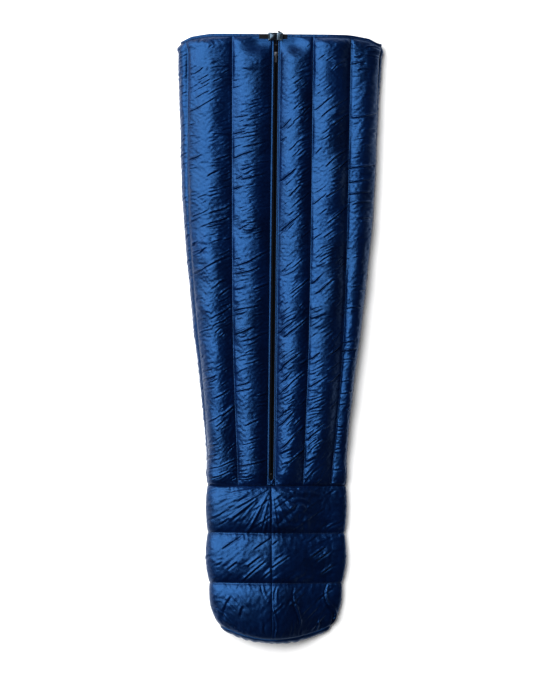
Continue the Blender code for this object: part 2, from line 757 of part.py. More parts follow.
def male_half(middle, material, collection, cutters):
    """Plug half: a body with two prongs and a centre guide, and a slot for its strap."""
    half_width = BUCKLE_WIDTH / 2
    half_height = BUCKLE_HEIGHT / 2
    length = MALE_X[1] - MALE_X[0]
    male = box("buckle_male", (0, -half_width, -half_height), (length, half_width, half_height),
               material, collection)
    reach = half_width - BUCKLE_WALL - PRONG_CLEAR
    prong_height = half_height - BUCKLE_WALL - PRONG_CLEAR
    guide = GUIDE_WIDTH / 2
    for low, high in ((-reach, -reach + PRONG_WIDTH), (reach - PRONG_WIDTH, reach), (-guide, guide)):
        shape(male, (-PRONG_LENGTH, low, -prong_height), (0.001, high, prong_height), "UNION", cutters)
    shape(male, (length - 0.0018 - STRAP_SLOT, -STRAP_SLOT_HALF, -2 * half_height),
          (length - 0.0018, STRAP_SLOT_HALF, 2 * half_height), "DIFFERENCE", cutters)
    male.location = middle + Vector((MALE_X[0] - FEMALE_X[1], 0, 0))
    return male


# ---- Materials -----------------------------------------------------------------------------
def make_material(name, color, roughness, metallic=0.0):
    material = bpy.data.materials.new(name)
    material.use_nodes = True
    shader = material.node_tree.nodes["Principled BSDF"]
    shader.inputs["Base Color"].default_value = (*color, 1)
    shader.inputs["Roughness"].default_value = roughness
    shader.inputs["Metallic"].default_value = metallic
    return material


def make_materials():
    return {
        "shell": make_material("shell_nylon", (0.020, 0.080, 0.260), 0.38),
        "lining": make_material("lining_nylon", (0.012, 0.045, 0.140), 0.45),
        "down": make_material("down", (0.80, 0.79, 0.76), 0.90),
        "mesh": make_material("baffle_mesh", (0.55, 0.56, 0.58), 0.80),
        "tape": make_material("zip_tape", (0.010, 0.010, 0.012), 0.75),
        "coil": make_material("zip_coil", (0.012, 0.012, 0.014), 0.35),
        "metal": make_material("zip_metal", (0.35, 0.36, 0.38), 0.30, 1.0),
        "webbing": make_material("webbing", (0.012, 0.013, 0.018), 0.70),
        "plastic": make_material("buckle_plastic", (0.015, 0.015, 0.017), 0.30),
    }


def main():
    for obj in list(bpy.data.objects):
        bpy.data.objects.remove(obj)
    collection = bpy.data.collections.new(BAG_NAME)
    cutters = bpy.data.collections.new("cutters")
    for group in (collection, cutters):
        bpy.context.scene.collection.children.link(group)
    materials = make_materials()
    for chamber in CHAMBERS:
        chamber_fill(chamber, materials["down"], collection)
    panels = (("right_front", CHAMBERS[:3]), ("back", CHAMBERS[3:7]), ("left_front", CHAMBERS[7:]))
    for name, chambers in panels:
        torso_panel(f"shell_{name}", chambers, 1, materials["shell"], collection)
        torso_panel(f"lining_{name}", chambers, -1, materials["lining"], collection)
    for number, arc_at in enumerate(TORSO_ARCS[1:-1], start=1):
        torso_wall(f"baffle_{number}", arc_at, materials["mesh"], collection)
    for index in range(3):
        ring_fill(index, materials["down"], collection)
        ring_wall(f"ring_wall_{index + 1}", RING_SEAMS_Y[index], materials["mesh"], collection)
    ring_wall("ring_wall_4", FOOT_CORNER_Y, materials["mesh"], collection)
    footbox_panel("shell_footbox", 1, materials["shell"], collection)
    footbox_panel("lining_footbox", -1, materials["lining"], collection)
    foot_end(materials, collection)
    neck_binding(materials["shell"], collection)
    zipper_rows(materials, collection)
    zipper_slider(materials, collection, cutters)
    zipper_pull("outer_pull", OUTER_PULL_LENGTH, PULL_AXIS_UP, materials["metal"], collection, cutters)
    zipper_pull("inner_pull", INNER_PULL_LENGTH, PULL_AXIS_DOWN, materials["metal"], collection, cutters)
    neck_closure(materials, collection, cutters)


main()
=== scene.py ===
"""Looks of a tapered, hoodless down sleeping bag lying on its back, zipper up.

Metres, +Z up, +Y towards the open neck, as in the CAD frame. The quilted wall follows a ring in
each cross-section, and a place on it is an arc length that starts at the middle of the front and
runs over the right side, the back and the left side. An offset is measured outwards from the
middle of the wall. Fabric panels are grids of points: rows along the bag, columns round it.
"""
import math

import bmesh
import bpy
import numpy as np
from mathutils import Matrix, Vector


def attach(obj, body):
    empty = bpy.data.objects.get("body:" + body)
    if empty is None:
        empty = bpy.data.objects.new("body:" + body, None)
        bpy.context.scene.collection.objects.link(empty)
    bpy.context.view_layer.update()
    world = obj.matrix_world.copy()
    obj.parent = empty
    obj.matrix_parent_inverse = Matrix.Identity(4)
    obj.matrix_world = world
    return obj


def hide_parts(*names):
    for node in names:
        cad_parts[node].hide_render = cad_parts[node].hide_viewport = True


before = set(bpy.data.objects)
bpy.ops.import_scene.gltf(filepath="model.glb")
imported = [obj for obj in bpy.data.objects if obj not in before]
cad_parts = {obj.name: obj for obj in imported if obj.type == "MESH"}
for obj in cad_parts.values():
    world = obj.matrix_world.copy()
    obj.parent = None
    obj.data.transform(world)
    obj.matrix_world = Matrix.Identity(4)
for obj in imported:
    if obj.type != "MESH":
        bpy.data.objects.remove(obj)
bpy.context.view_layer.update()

# ---- Driving dimensions ----
# They are the CAD's own, apart from a narrower hem, binding and zipper band, chambers that puff
# nearer to the neck and to the zipper, and the spreads, tips and settling that only the looks need.
NECK_Y = 0.946
HEM_WIDTH = 0.0065
HEM_Y = NECK_Y - HEM_WIDTH
WAIST_Y = -0.458
RING_SEAMS_Y = (WAIST_Y, -0.606, -0.762)
FOOT_CORNER_Y = -0.893
FOOT_CURVE = 0.045
FOOT_BULGE = 0.0085
NECK_CORNER_DROP = 0.014
NECK_CORNER_START = 0.20
NECK_CORNER_WIDTH = 0.12
NECK_TIP_DROP = 0.011
NECK_TIP_START = 0.272
NECK_TIP_WIDTH = 0.040
# Where along the bag the neck's drops begin, and the length they ease in over.
NECK_DROP_FADE = (0.70, 0.20)
NECK_TIP_FADE = (0.80, 0.14)
HALF_WIDTHS = (
    (FOOT_CORNER_Y, 0.173), (-0.877, 0.184), (-0.815, 0.201), (-0.690, 0.2165),
    (WAIST_Y, 0.2195), (-0.192, 0.241), (0.120, 0.280), (0.431, 0.308), (NECK_Y, 0.322),
)
LEFT_BULGE = (
    (FOOT_CORNER_Y, 0.0075), (-0.60, 0.0125), (WAIST_Y, 0.0115), (-0.35, 0.0165), (NECK_Y, 0.0246),
)
RIGHT_BULGE = (
    (FOOT_CORNER_Y, 0.0075), (-0.60, 0.0125), (WAIST_Y, 0.0115), (-0.35, 0.0160), (NECK_Y, 0.0180),
)
FRONT_Z = 0.076
BACK_Z = 0.019
FOOT_FRONT_Z = 0.062
FOOT_BACK_Z = 0.020
MID_SEAM_Y = 0.026
SEAM_RIGHT_1_2 = ((WAIST_Y, 0.083), (MID_SEAM_Y, 0.0972), (NECK_Y, 0.103))
SEAM_RIGHT_2_3 = ((WAIST_Y, 0.170), (MID_SEAM_Y, 0.206), (NECK_Y, 0.221))
SEAM_LEFT_2_3 = ((WAIST_Y, -0.119), (MID_SEAM_Y, -0.1396), (NECK_Y, -0.1495))
SEAM_LEFT_1_2_TURN = ((WAIST_Y, 80.0), (0.15, 53.0), (NECK_Y, 30.0))
SIDE_SEAM_TURN = 70.0
BACK_SEAMS_X = ((0.138, 0.200), (0.050, 0.062), (-0.038, -0.077), (-0.126, -0.215))
SEAM_HALF = 0.006
HEM_HALF = 0.0016
HEM_SPREAD = 0.011
HEM_SPREAD_LENGTH = 0.045
ZIP_EDGE_HALF = 0.0013
CROWN_OUT = 0.0225
CROWN_IN = 0.0075
CROWN_POWER = 0.62
CHAMBER_END = 0.022
WAIST_END = 0.036
HEM_TO_SEAM = 0.018
FOOT_SEAM_X = ((FOOT_CORNER_Y, -0.010), (WAIST_Y, -0.0165))
END_SEAM_DROP = 0.0044
END_INNER_BULGE = 0.010
BINDING_WIDTH = 0.0072
ZIP_NECK_X = -0.0125
ZIP_WAIST_X = -0.0165
ZIP_BAND = 0.0068
ZIP_CHAMBER = 0.0128
# Shares of the height that the sides settle by, for the torso and for the footbox.
SETTLED_RIGHT = (0.44, 0.66)
SETTLED_LEFT = (0.10, 0.16)


# ---- Curves and the ring of the wall ----
def smooth_through(points, places):
    """Values at places on a smooth curve through (place, value) points in rising order."""
    at = np.array([p[0] for p in points], float)
    value = np.array([p[1] for p in points], float)
    slope = np.empty(len(at))
    slope[1:-1] = (value[2:] - value[:-2]) / (at[2:] - at[:-2])
    slope[0] = (value[1] - value[0]) / (at[1] - at[0])
    slope[-1] = (value[-1] - value[-2]) / (at[-1] - at[-2])
    places = np.clip(np.asarray(places, float), at[0], at[-1])
    k = np.clip(np.searchsorted(at, places) - 1, 0, len(at) - 2)
    width = at[k + 1] - at[k]
    t = (places - at[k]) / width
    return ((2 * t**3 - 3 * t**2 + 1) * value[k] + (t**3 - 2 * t**2 + t) * width * slope[k]
            + (3 * t**2 - 2 * t**3) * value[k + 1] + (t**3 - t**2) * width * slope[k + 1])


def ease(value):
    value = np.clip(value, 0.0, 1.0)
    return value * value * (3 - 2 * value)


def between(value, low, high, soft):
    """1 well inside a range and 0 outside it, easing over a soft edge."""
    return ease((value - low) / soft) * ease((high - value) / soft)


def lerp(a, b, t):
    return a + (b - a) * t


def torso_share(y):
    """0 at the waist, rising to 1 at the neck."""
    return (y - WAIST_Y) / (NECK_Y - WAIST_Y)


def foot_share(y):
    """0 at the last quilting seam, rising to 1 at the foot's corners."""
    return (RING_SEAMS_Y[2] - y) / (RING_SEAMS_Y[2] - FOOT_CORNER_Y)


def foot_curve(x):
    """How far the rounded foot stands past its corners."""
    return FOOT_CURVE * np.maximum(0.0, 1 - (x / HALF_WIDTHS[0][1]) ** 2)


def crown_shape(share):
    """The rounded rise of a chamber across its width, 0 at its seams and 1 midway."""
    return (1 - (2 * share - 1) ** 2) ** CROWN_POWER


class Section:
    """The ring of the wall's middle at places along the bag."""

    def __init__(self, y):
        y = np.asarray(y, float)
        foot = ease(foot_share(y))
        self.top = lerp(FRONT_Z, FOOT_FRONT_Z, foot)
        self.bottom = lerp(BACK_Z, FOOT_BACK_Z, foot)
        self.radius = (self.top - self.bottom) / 2
        half_width = smooth_through(HALF_WIDTHS, y)
        # The chambers thin out towards the neck's edge, so the wall itself spreads there.
        spread = HEM_SPREAD * ease((y - NECK_Y + HEM_SPREAD_LENGTH) / HEM_SPREAD_LENGTH)
        self.left = half_width - self.radius - smooth_through(LEFT_BULGE, y) + spread
        self.right = half_width - self.radius - smooth_through(RIGHT_BULGE, y) + spread
        self.side = math.pi * self.radius
        self.flat = self.left + self.right
        self.length = 2 * self.flat + 2 * self.side

    def at(self, arc):
        """Sideways place, height and outward direction at arc lengths."""
        arc = np.mod(arc, self.length)
        middle = (self.top + self.bottom) / 2
        right_turn = (arc - self.right) / self.radius
        back = arc - self.right - self.side
        left_turn = math.pi + (back - self.flat) / self.radius
        cases = [arc < self.right, arc < self.right + self.side, back < self.flat,
                 back < self.flat + self.side]
        x = np.select(cases, [arc, self.right + self.radius * np.sin(right_turn), self.right - back,
                              -self.left + self.radius * np.sin(left_turn)],
                      -self.left + back - self.flat - self.side)
        z = np.select(cases, [self.top + 0 * arc, middle + self.radius * np.cos(right_turn),
                              self.bottom + 0 * arc, middle + self.radius * np.cos(left_turn)], self.top)
        across = np.select(cases, [0 * arc, np.sin(right_turn), 0 * arc, np.sin(left_turn)], 0.0)
        up = np.select(cases, [0 * arc + 1, np.cos(right_turn), 0 * arc - 1, np.cos(left_turn)], 1.0)
        return x, z, across, up


def lengthwise(y, x):
    """The true place along the bag: the neck's corners drop back and the foot is rounded."""
    corner = ease((np.abs(x) - NECK_CORNER_START) / NECK_CORNER_WIDTH)
    dropped = y - NECK_CORNER_DROP * corner * ease((y - NECK_DROP_FADE[0]) / NECK_DROP_FADE[1])
    tip = ease((np.abs(x) - NECK_TIP_START) / NECK_TIP_WIDTH)
    dropped = dropped - NECK_TIP_DROP * tip * ease((y - NECK_TIP_FADE[0]) / NECK_TIP_FADE[1])
    return dropped - foot_curve(x) * np.clip(foot_share(y), 0, 1) ** 1.4


def settled(x, y, z):
    """Heights with the bag's sides lying lower than its middle, the footbox's right side most."""
    place = x / smooth_through(HALF_WIDTHS, y)
    foot = ease((WAIST_Y + 0.34 - y) / 0.44)
    torso_right = SETTLED_RIGHT[0] * ease((place - 0.40) / 0.60)
    foot_right = SETTLED_RIGHT[1] * ease((place + 0.08) / 1.08)
    right = lerp(torso_right, foot_right, foot)
    left = lerp(*SETTLED_LEFT, foot) * ease((-place - 0.40) / 0.60)
    return z * (1 - right - left)


def wall_points(y, arc, offset):
    """Points of the wall, an array of rows and columns by three."""
    x, z, across, up = Section(y).at(arc)
    true_x = x + across * offset
    return np.stack([true_x, lengthwise(y, x) + 0 * offset, settled(true_x, y, z + up * offset)], axis=-1)


def zip_x(y):
    return lerp(ZIP_WAIST_X, ZIP_NECK_X, torso_share(y))


def front_arc(points):
    return lambda y: np.mod(smooth_through(points, y), Section(y).length)


def side_seam_arc(y):
    section = Section(y)
    return section.right + section.radius * math.radians(SIDE_SEAM_TURN)


def left_seam_arc(y):
    section = Section(y)
    return section.length - section.left - section.radius * np.radians(smooth_through(SEAM_LEFT_1_2_TURN, y))


def back_arc(waist_x, neck_x):
    def arc(y):
        section = Section(y)
        x = lerp(waist_x, neck_x, torso_share(y))
        return 2 * section.right + section.side - x
    return arc


def zip_right_arc(y):
    return zip_x(y) + ZIP_CHAMBER


def zip_left_arc(y):
    return Section(y).length + zip_x(y) - ZIP_CHAMBER


TORSO_ARCS = [
    zip_right_arc, front_arc(SEAM_RIGHT_1_2), front_arc(SEAM_RIGHT_2_3), side_seam_arc,
    *[back_arc(*pair) for pair in BACK_SEAMS_X],
    left_seam_arc, front_arc(SEAM_LEFT_2_3), zip_left_arc,
]


# ---- Repeatable noise ----
def lattice_turn(i, j, seed):
    """Angle for each whole-number place, the same on every run."""
    mixed = (i * 374761393 + j * 668265263 + seed * 974634777) & 0xFFFFFFFF
    mixed = ((mixed ^ (mixed >> 13)) * 1274126177) & 0xFFFFFFFF
    return (mixed ^ (mixed >> 16)) * (2 * math.pi / 2**32)


def noise2(a, b, seed):
    """Smooth gradient noise over two coordinates, about -1 to 1."""
    i = np.floor(a).astype(np.int64)
    j = np.floor(b).astype(np.int64)
    s = a - i
    t = b - j
    total = np.zeros(np.broadcast(a, b).shape)
    for di in (0, 1):
        for dj in (0, 1):
            turn = lattice_turn(i + di, j + dj, seed)
            slope = np.cos(turn) * (s - di) + np.sin(turn) * (t - dj)
            weight_a = ease(1 - np.abs(s - di))
            weight_b = ease(1 - np.abs(t - dj))
            total += weight_a * weight_b * slope
    return 1.5 * total


def billow(a, b, seed):
    """Rounded bulges between thin valleys, 0 in the valleys to about 1."""
    value = noise2(a, b, seed)
    return np.sqrt(value * value + 0.004) - 0.063


def patches(a, b, size, low, high, seed):
    """0 to 1 in soft patches of a given size."""
    value = noise2(a / size, b / size, seed)
    return ease((value - low) / (high - low))


# ---- Grids of points ----
def refine(values, axis, breaks, factor):
    """Values on a finer grid, smooth between breaks and free to turn sharply at them."""
    values = np.moveaxis(values, axis, 0)
    pieces = []
    for start, end in zip(breaks[:-1], breaks[1:]):
        run = values[start:end + 1]
        run = np.concatenate([2 * run[:1] - run[1:2], run, 2 * run[-1:] - run[-2:-1]])
        steps = []
        for k in range(factor):
            t = k / factor
            a, b, c, d = run[:-3], run[1:-2], run[2:-1], run[3:]
            bend = 2 * a - 5 * b + 4 * c - d + t * (3 * (b - c) + d - a)
            steps.append(b + 0.5 * t * (c - a + t * bend))
        fine = np.stack(steps, axis=1).reshape(-1, *run.shape[1:])
        pieces.append(fine)
    pieces.append(values[breaks[-1]:breaks[-1] + 1])
    return np.moveaxis(np.concatenate(pieces), 0, axis)


def refine_both(values, row_breaks, column_breaks, factor):
    """Values on a grid made finer along its rows and its columns."""
    return refine(refine(values, 0, row_breaks, factor), 1, column_breaks, factor)


def grid_normals(points):
    """Outward direction at each point of a grid whose rows run along the bag."""
    along = np.gradient(points, axis=0)
    across = np.gradient(points, axis=1)
    normal = np.cross(across, along)
    length = np.linalg.norm(normal, axis=-1, keepdims=True)
    return normal / np.maximum(length, 1e-9)


def raised(points, height, upright_share):
    """A grid with folds laid on it, lower where the cloth stands upright, and kept above the floor."""
    normal = grid_normals(points)
    points = points + normal * (height * lerp(upright_share, 1.0, np.abs(normal[..., 2])))[..., None]
    points[..., 2] = np.maximum(points[..., 2], 0.0)
    return points


def grid_indices(rows, columns, start):
    return np.arange(rows * columns).reshape(rows, columns) + start


def grid_faces(rows, columns, start=0, flipped=False):
    """Quads of a grid, facing out where rows run along the bag and columns run round it."""
    index = grid_indices(rows, columns, start)
    corners = [index[:-1, :-1], index[:-1, 1:], index[1:, 1:], index[1:, :-1]]
    if flipped:
        corners.reverse()
    return np.stack(corners, axis=-1).reshape(-1, 4)


def rim_indices(rows, columns, start=0):
    """The four sides of a grid's rim, head to tail."""
    index = grid_indices(rows, columns, start)
    return [index[0, :], index[:, -1], index[-1, ::-1], index[::-1, 0]]


def rim_faces(outer_sides, inner_sides):
    """Triangles that close two grids' rims; each outer side has a whole multiple of inner steps."""
    faces = []
    for outer, inner in zip(outer_sides, inner_sides):
        factor = (len(outer) - 1) // (len(inner) - 1)
        for k in range(len(inner) - 1):
            for m in range(factor):
                faces.append((outer[k * factor + m + 1], outer[k * factor + m], inner[k]))
            faces.append((outer[(k + 1) * factor], inner[k], inner[k + 1]))
    return faces


def set_all(target, settings):
    for name, value in settings.items():
        setattr(target, name, value)


def new_object(name, data):
    """An object of the given data, linked to the scene."""
    obj = bpy.data.objects.new(name, data)
    bpy.context.scene.collection.objects.link(obj)
    return obj


def make_object(name, vertices, faces, materials, smooth=True):
    mesh = bpy.data.meshes.new(name)
    mesh.from_pydata(vertices, [], faces)
    for material in materials:
        mesh.materials.append(material)
    mesh.polygons.foreach_set("use_smooth", np.full(len(mesh.polygons), smooth))
    return new_object(name, mesh)


def add_piece(obj, body, nodes=()):
    """Rides a finished piece on its body, in the place of CAD nodes."""
    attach(obj, body)
    if nodes:
        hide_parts(*nodes)
    return obj


def closed_body(name, outer, inner, flat_places, seam_distance, materials):
    """A closed piece between a fine outer grid and a coarser inner one.

    flat_places are the outer grid's places in the cut cloth, in metres, for the weave.
    """
    rows, columns = outer.shape[:2]
    inner_rows, inner_columns = inner.shape[:2]
    start = rows * columns
    faces = grid_faces(rows, columns).tolist()
    outer_count = len(faces)
    faces += grid_faces(inner_rows, inner_columns, start, flipped=True).tolist()
    faces += rim_faces(rim_indices(rows, columns), rim_indices(inner_rows, inner_columns, start))
    vertices = np.concatenate([outer.reshape(-1, 3), inner.reshape(-1, 3)])
    obj = make_object(name, vertices.tolist(), [tuple(int(v) for v in face) for face in faces], materials)
    mesh = obj.data
    slots = np.ones(len(mesh.polygons), np.int32)
    slots[:outer_count] = 0
    mesh.polygons.foreach_set("material_index", slots)
    places = np.concatenate([flat_places.reshape(-1, 2), inner.reshape(-1, 3)[:, :2]])
    corners = np.empty(len(mesh.loops), np.int32)
    mesh.loops.foreach_get("vertex_index", corners)
    mesh.uv_layers.new(name="cloth").data.foreach_set("uv", places[corners].astype(np.float32).ravel())
    near = np.zeros(len(mesh.vertices), np.float32)
    near[:start] = seam_distance.ravel()
    mesh.attributes.new("seam_distance", "FLOAT", "POINT").data.foreach_set("value", near)
    return obj


# ---- Cloth simulation ----
SIM_STEP = 0.006
SIM_FRAMES = 12
SIM_PRESSURE = 4.0
SPARE_CLOTH = 0.002
START_CROWN = 0.86
START_ROUGHNESS = 0.0003
CLOTH_SETTINGS = {
    "quality": 3, "mass": 0.15, "air_damping": 2, "vertex_group_mass": "pinned",
    "tension_stiffness": 25, "compression_stiffness": 10, "shear_stiffness": 4,
    "bending_stiffness": 0.04, "tension_damping": 5, "compression_damping": 5,
    "shear_damping": 5, "bending_damping": 0.5, "use_pressure": True,
    "uniform_pressure_force": SIM_PRESSURE, "shrink_min": -SPARE_CLOTH, "shrink_max": -SPARE_CLOTH,
}


def puff(points, pinned, cap, seed):
    """The grid blown up by its down; pinned points stay put and no point moves past the cap."""
    rows, columns = points.shape[:2]
    start = points + np.random.default_rng(seed).normal(0, START_ROUGHNESS, points.shape)
    start[pinned] = points[pinned]
    cloth = make_object("cloth", start.reshape(-1, 3).tolist(), grid_faces(rows, columns).tolist(), ())
    group = cloth.vertex_groups.new(name="pinned")
    group.add(np.flatnonzero(pinned).tolist(), 1.0, "REPLACE")
    modifier = cloth.modifiers.new("cloth", "CLOTH")
    set_all(modifier.settings, CLOTH_SETTINGS)
    modifier.settings.effector_weights.gravity = 0
    modifier.collision_settings.use_collision = False
    modifier.collision_settings.use_self_collision = False
    modifier.point_cache.frame_start = 1
    modifier.point_cache.frame_end = SIM_FRAMES + 1
    scene = bpy.context.scene
    for number in range(1, SIM_FRAMES + 1):
        scene.frame_set(number)
    blown = cloth.evaluated_get(bpy.context.evaluated_depsgraph_get())
    result = np.empty(rows * columns * 3, np.float32)
    blown.data.vertices.foreach_get("co", result)
    mesh = cloth.data
    bpy.data.objects.remove(cloth)
    bpy.data.meshes.remove(mesh)
    scene.frame_set(1)
    move = result.reshape(rows, columns, 3).astype(float) - points
    length = np.linalg.norm(move, axis=-1, keepdims=True)
    return points + move * np.minimum(1.0, cap / np.maximum(length, 1e-9))


# ---- Torso panels ----
PLACKET_MIDDLE = 0.0090
# The folded strips beside the zipper: distance from its middle line, and thickness.
PLACKET = (
    (ZIP_BAND, 0.0010), (ZIP_BAND + 0.0005, 0.0015), (PLACKET_MIDDLE, 0.0016), (0.0110, 0.0014),
)
PLACKET_INNER = 0.0010
HEM_ROWS = 4
FINE = 2
FRONT_FINE = 3
PUFF_CAP = 0.010
BUCKLE_ROOM_Z = FRONT_Z + 0.0036
# The lower, left and right edges of the buckle's room, each with the length it fades over.
BUCKLE_ROOM_EDGES = ((0.866, 0.058), (-0.150, 0.084), (0.118, 0.076))
FOLDS_ON_UPRIGHT = 0.35


def even_steps(length, step=SIM_STEP):
    """An even number of steps of about the given size along a length."""
    return 2 * round(length / step / 2)


def torso_rows():
    """Places along the bag, waist first: the chambers' length and then the hem."""
    y = np.linspace(WAIST_Y, HEM_Y, even_steps(HEM_Y - WAIST_Y) + 1)
    hem = np.linspace(HEM_Y, NECK_Y - 0.0002, HEM_ROWS + 1)[1:]
    return np.concatenate([y, hem])[:, None]


def seam_half(y):
    """Half the wall's thickness along a sewn seam, thinner at the hem."""
    return lerp(HEM_HALF, SEAM_HALF, ease((HEM_Y - y) / HEM_TO_SEAM))


def share_in_chamber(arc, y, chamber):
    """Share of the way across its chamber of each point, and the chamber's width there."""
    seams = [seam(y) for seam in TORSO_ARCS]
    start = np.concatenate([seams[index] for index in chamber], axis=1)
    end = np.concatenate([seams[index + 1] for index in chamber], axis=1)
    return np.clip((arc - start) / (end - start), 0, 1), end - start


class TorsoPanel:
    """A run of chambers: its grid of arc lengths, and the columns where it is sewn."""

    def __init__(self, first, last):
        self.y = torso_rows()
        self.zip_first = first == 0
        self.zip_last = last == len(TORSO_ARCS) - 1
        self.last = last
        arcs = []
        self.chamber = []
        self.breaks = [0]
        if self.zip_first:
            arcs += [zip_x(self.y) + u for u, _ in PLACKET]
            self.chamber += [first] * len(PLACKET)
            self.breaks.append(len(PLACKET))
        for index in range(first, last):
            start = TORSO_ARCS[index](self.y)
            end = TORSO_ARCS[index + 1](self.y)
            t = np.linspace(0, 1, even_steps(float((end - start).mean())) + 1)
            for share in t[index > first:]:
                arcs.append(lerp(start, end, share))
                self.chamber.append(index)
            self.breaks.append(len(arcs) - 1)
        if self.zip_last:
            arcs += [Section(self.y).length + zip_x(self.y) - u for u, _ in reversed(PLACKET)]
            self.chamber += [last - 1] * len(PLACKET)
            self.breaks.append(len(arcs) - 1)
        self.arc = np.concatenate(arcs, axis=1)

    def offsets(self, crown_depth, side):
        """Reach of the wall from its middle to the cloth, out (side 1) or in (side -1)."""
        y = self.y
        share, _ = share_in_chamber(self.arc, y, self.chamber)
        chamber = np.array(self.chamber)[None, :]
        seam = seam_half(y) + 0 * share
        edge = np.minimum(ZIP_EDGE_HALF, seam)
        by_zip = np.where(chamber == 0, 4 * share, 1.0)
        by_zip = np.where(chamber == len(TORSO_ARCS) - 2, 4 * (1 - share), by_zip)
        seam = lerp(edge, seam, np.minimum(1, by_zip))
        neck = np.sqrt(np.clip((HEM_Y - y) / CHAMBER_END, 0, 1))
        waist = np.sqrt(np.clip((y - WAIST_Y) / WAIST_END, 0, 1))
        slim = lerp(0.45, 1.0, ease((y - WAIST_Y) / 0.40))
        crown = crown_depth * lerp(slim, 1.0, np.abs(Section(y).at(self.arc)[3]))
        offset = seam + crown * crown_shape(share) * neck * waist
        for column, (_, reach) in enumerate(PLACKET):
            thick = reach if side > 0 else PLACKET_INNER
            if self.zip_first:
                offset[:, column] = thick
            if self.zip_last:
                offset[:, -1 - column] = thick
        return side * offset

    def pinned(self):
        mask = np.zeros(self.arc.shape, bool)
        mask[:, self.breaks] = True
        if self.zip_first:
            mask[:, :len(PLACKET)] = True
        if self.zip_last:
            mask[:, -len(PLACKET):] = True
        mask[0] = True
        mask[-HEM_ROWS - 1:] = True
        return mask


# Spacings and heights of the torso's folds. The last number of each call of noise2, billow,
# patches or creases is its seed.
PUCKER_SPACING = 0.011
PUCKER_REACH = 0.014
PUCKER_HEIGHT = 0.0016
FOLD_SPACING = 0.0115
FOLD_HEIGHT = 0.0050
CREASE_SPACING = 0.032
CREASE_WIDTH = 0.0022
CREASE_HEIGHT = 0.0042
SMALL_CREASE_HEIGHT = 0.0024
UNEVENNESS = 0.0040
CRUMPLE_SPACING = 0.013
CRUMPLE_HEIGHT = 0.0002
# For each chamber: where its bundles of small folds lie across it in the bag's upper and lower
# half, how steeply they rise to the right, and how steeply its long creases do.
FOLD_ZONES = (
    (0.50, 1.02, 0.06, 0.62, 0.50, 0.90),
    (0.46, 0.92, -0.02, 0.55, 0.38, 0.75),
    (-0.02, 0.45, -0.02, 0.40, 0.06, 0.20),
    *[(0.10, 0.90, 0.10, 0.90, 0.10, 0.30)] * 2,
    *[(0.10, 0.90, 0.10, 0.90, 0.10, -0.30)] * 2,
    (0.10, 1.02, 0.10, 1.02, 0.55, 0.70),
    (0.40, 1.00, -0.02, 0.50, 0.14, 0.45),
    (0.18, 0.72, -0.02, 0.45, 0.22, 0.28),
)


def creases(slant, run, spacing, reach, seed):
    """Thin valleys with a raised lip, one at most in each spacing, that fade out along their run."""
    number = np.floor(slant / spacing).astype(np.int64)
    shift = 0.25 * np.sin(lattice_turn(number, 0 * number, seed))
    away = slant - (number + 0.5 + shift) * spacing
    strength = ease((noise2(run / reach, number * 0.77, seed + 1) + 0.05) / 0.35)
    width = CREASE_WIDTH * math.sqrt(spacing / CREASE_SPACING)
    lip = 0.9 * np.exp(-((away - 1.9 * width) / (1.2 * width)) ** 2)
    return strength * (lip - np.exp(-(away / width) ** 2))


def puckers(run, depth, distance, reach, seed):
    """Short folds that a seam's thread gathers, square to the seam, fading over a reach."""
    return np.exp(-distance / reach) * ease(distance / 0.004) * billow(run, depth, seed)


def torso_wrinkles(arc, y, share, chamber, distance):
    """Small folds of the torso's cloth, in metres outwards."""
    zone = np.array(FOLD_ZONES)[chamber]
    upper = ease((y - 0.15) / 0.30)
    low = lerp(zone[..., 2], zone[..., 0], upper)
    high = lerp(zone[..., 3], zone[..., 1], upper)
    lively = 0.20 + 0.80 * patches(arc, y, 0.07, -0.15, 0.35, 5)
    depth = distance / 0.040 + chamber * 2.6
    height = PUCKER_HEIGHT * lively * puckers(y / PUCKER_SPACING, depth, distance, PUCKER_REACH, 21)
    # Bundles of small folds over part of each chamber.
    sway = 0.006 * noise2(arc / 0.05, y / 0.06, 32)
    inside_zone = between(share, low, high, 0.16)
    bundle = patches(arc * 0.5, y, 0.075, -0.10, 0.34, 9)
    fold = billow((y + sway - zone[..., 4] * arc) / FOLD_SPACING, (arc + zone[..., 4] * y) / 0.060, 33)
    height += FOLD_HEIGHT * inside_zone * bundle * fold
    # A few long sharp creases.
    rise = zone[..., 5]
    size = np.hypot(1, rise)
    slant = (y - rise * arc) / size
    run = (arc + rise * y) / size
    bend = 0.010 * noise2(arc / 0.10, y / 0.10, 41)
    inside = between(share, 0, 1, 0.08)
    where = patches(arc * 0.7, y, 0.11, -0.45, 0.10, 43) * ease((0.88 - y) / 0.30)
    height += CREASE_HEIGHT * where * inside * creases(slant + bend, run, CREASE_SPACING, 0.075, 42)
    where = patches(arc, y, 0.075, -0.15, 0.30, 45)
    bend = 0.006 * noise2(arc / 0.05, y / 0.05, 46)
    small = creases(slant + bend, run, 0.55 * CREASE_SPACING, 0.040, 47)
    height += SMALL_CREASE_HEIGHT * where * inside * small
    # Broad unevenness of the down, and a little crumple everywhere.
    height += UNEVENNESS * inside * noise2(arc / 0.07, y / 0.10, 50)
    height += CRUMPLE_HEIGHT * inside * noise2(arc / CRUMPLE_SPACING, y / CRUMPLE_SPACING, 51)
    ends = ease((HEM_Y - y) / 0.012) * ease((y - WAIST_Y) / 0.010)
    return height * ends


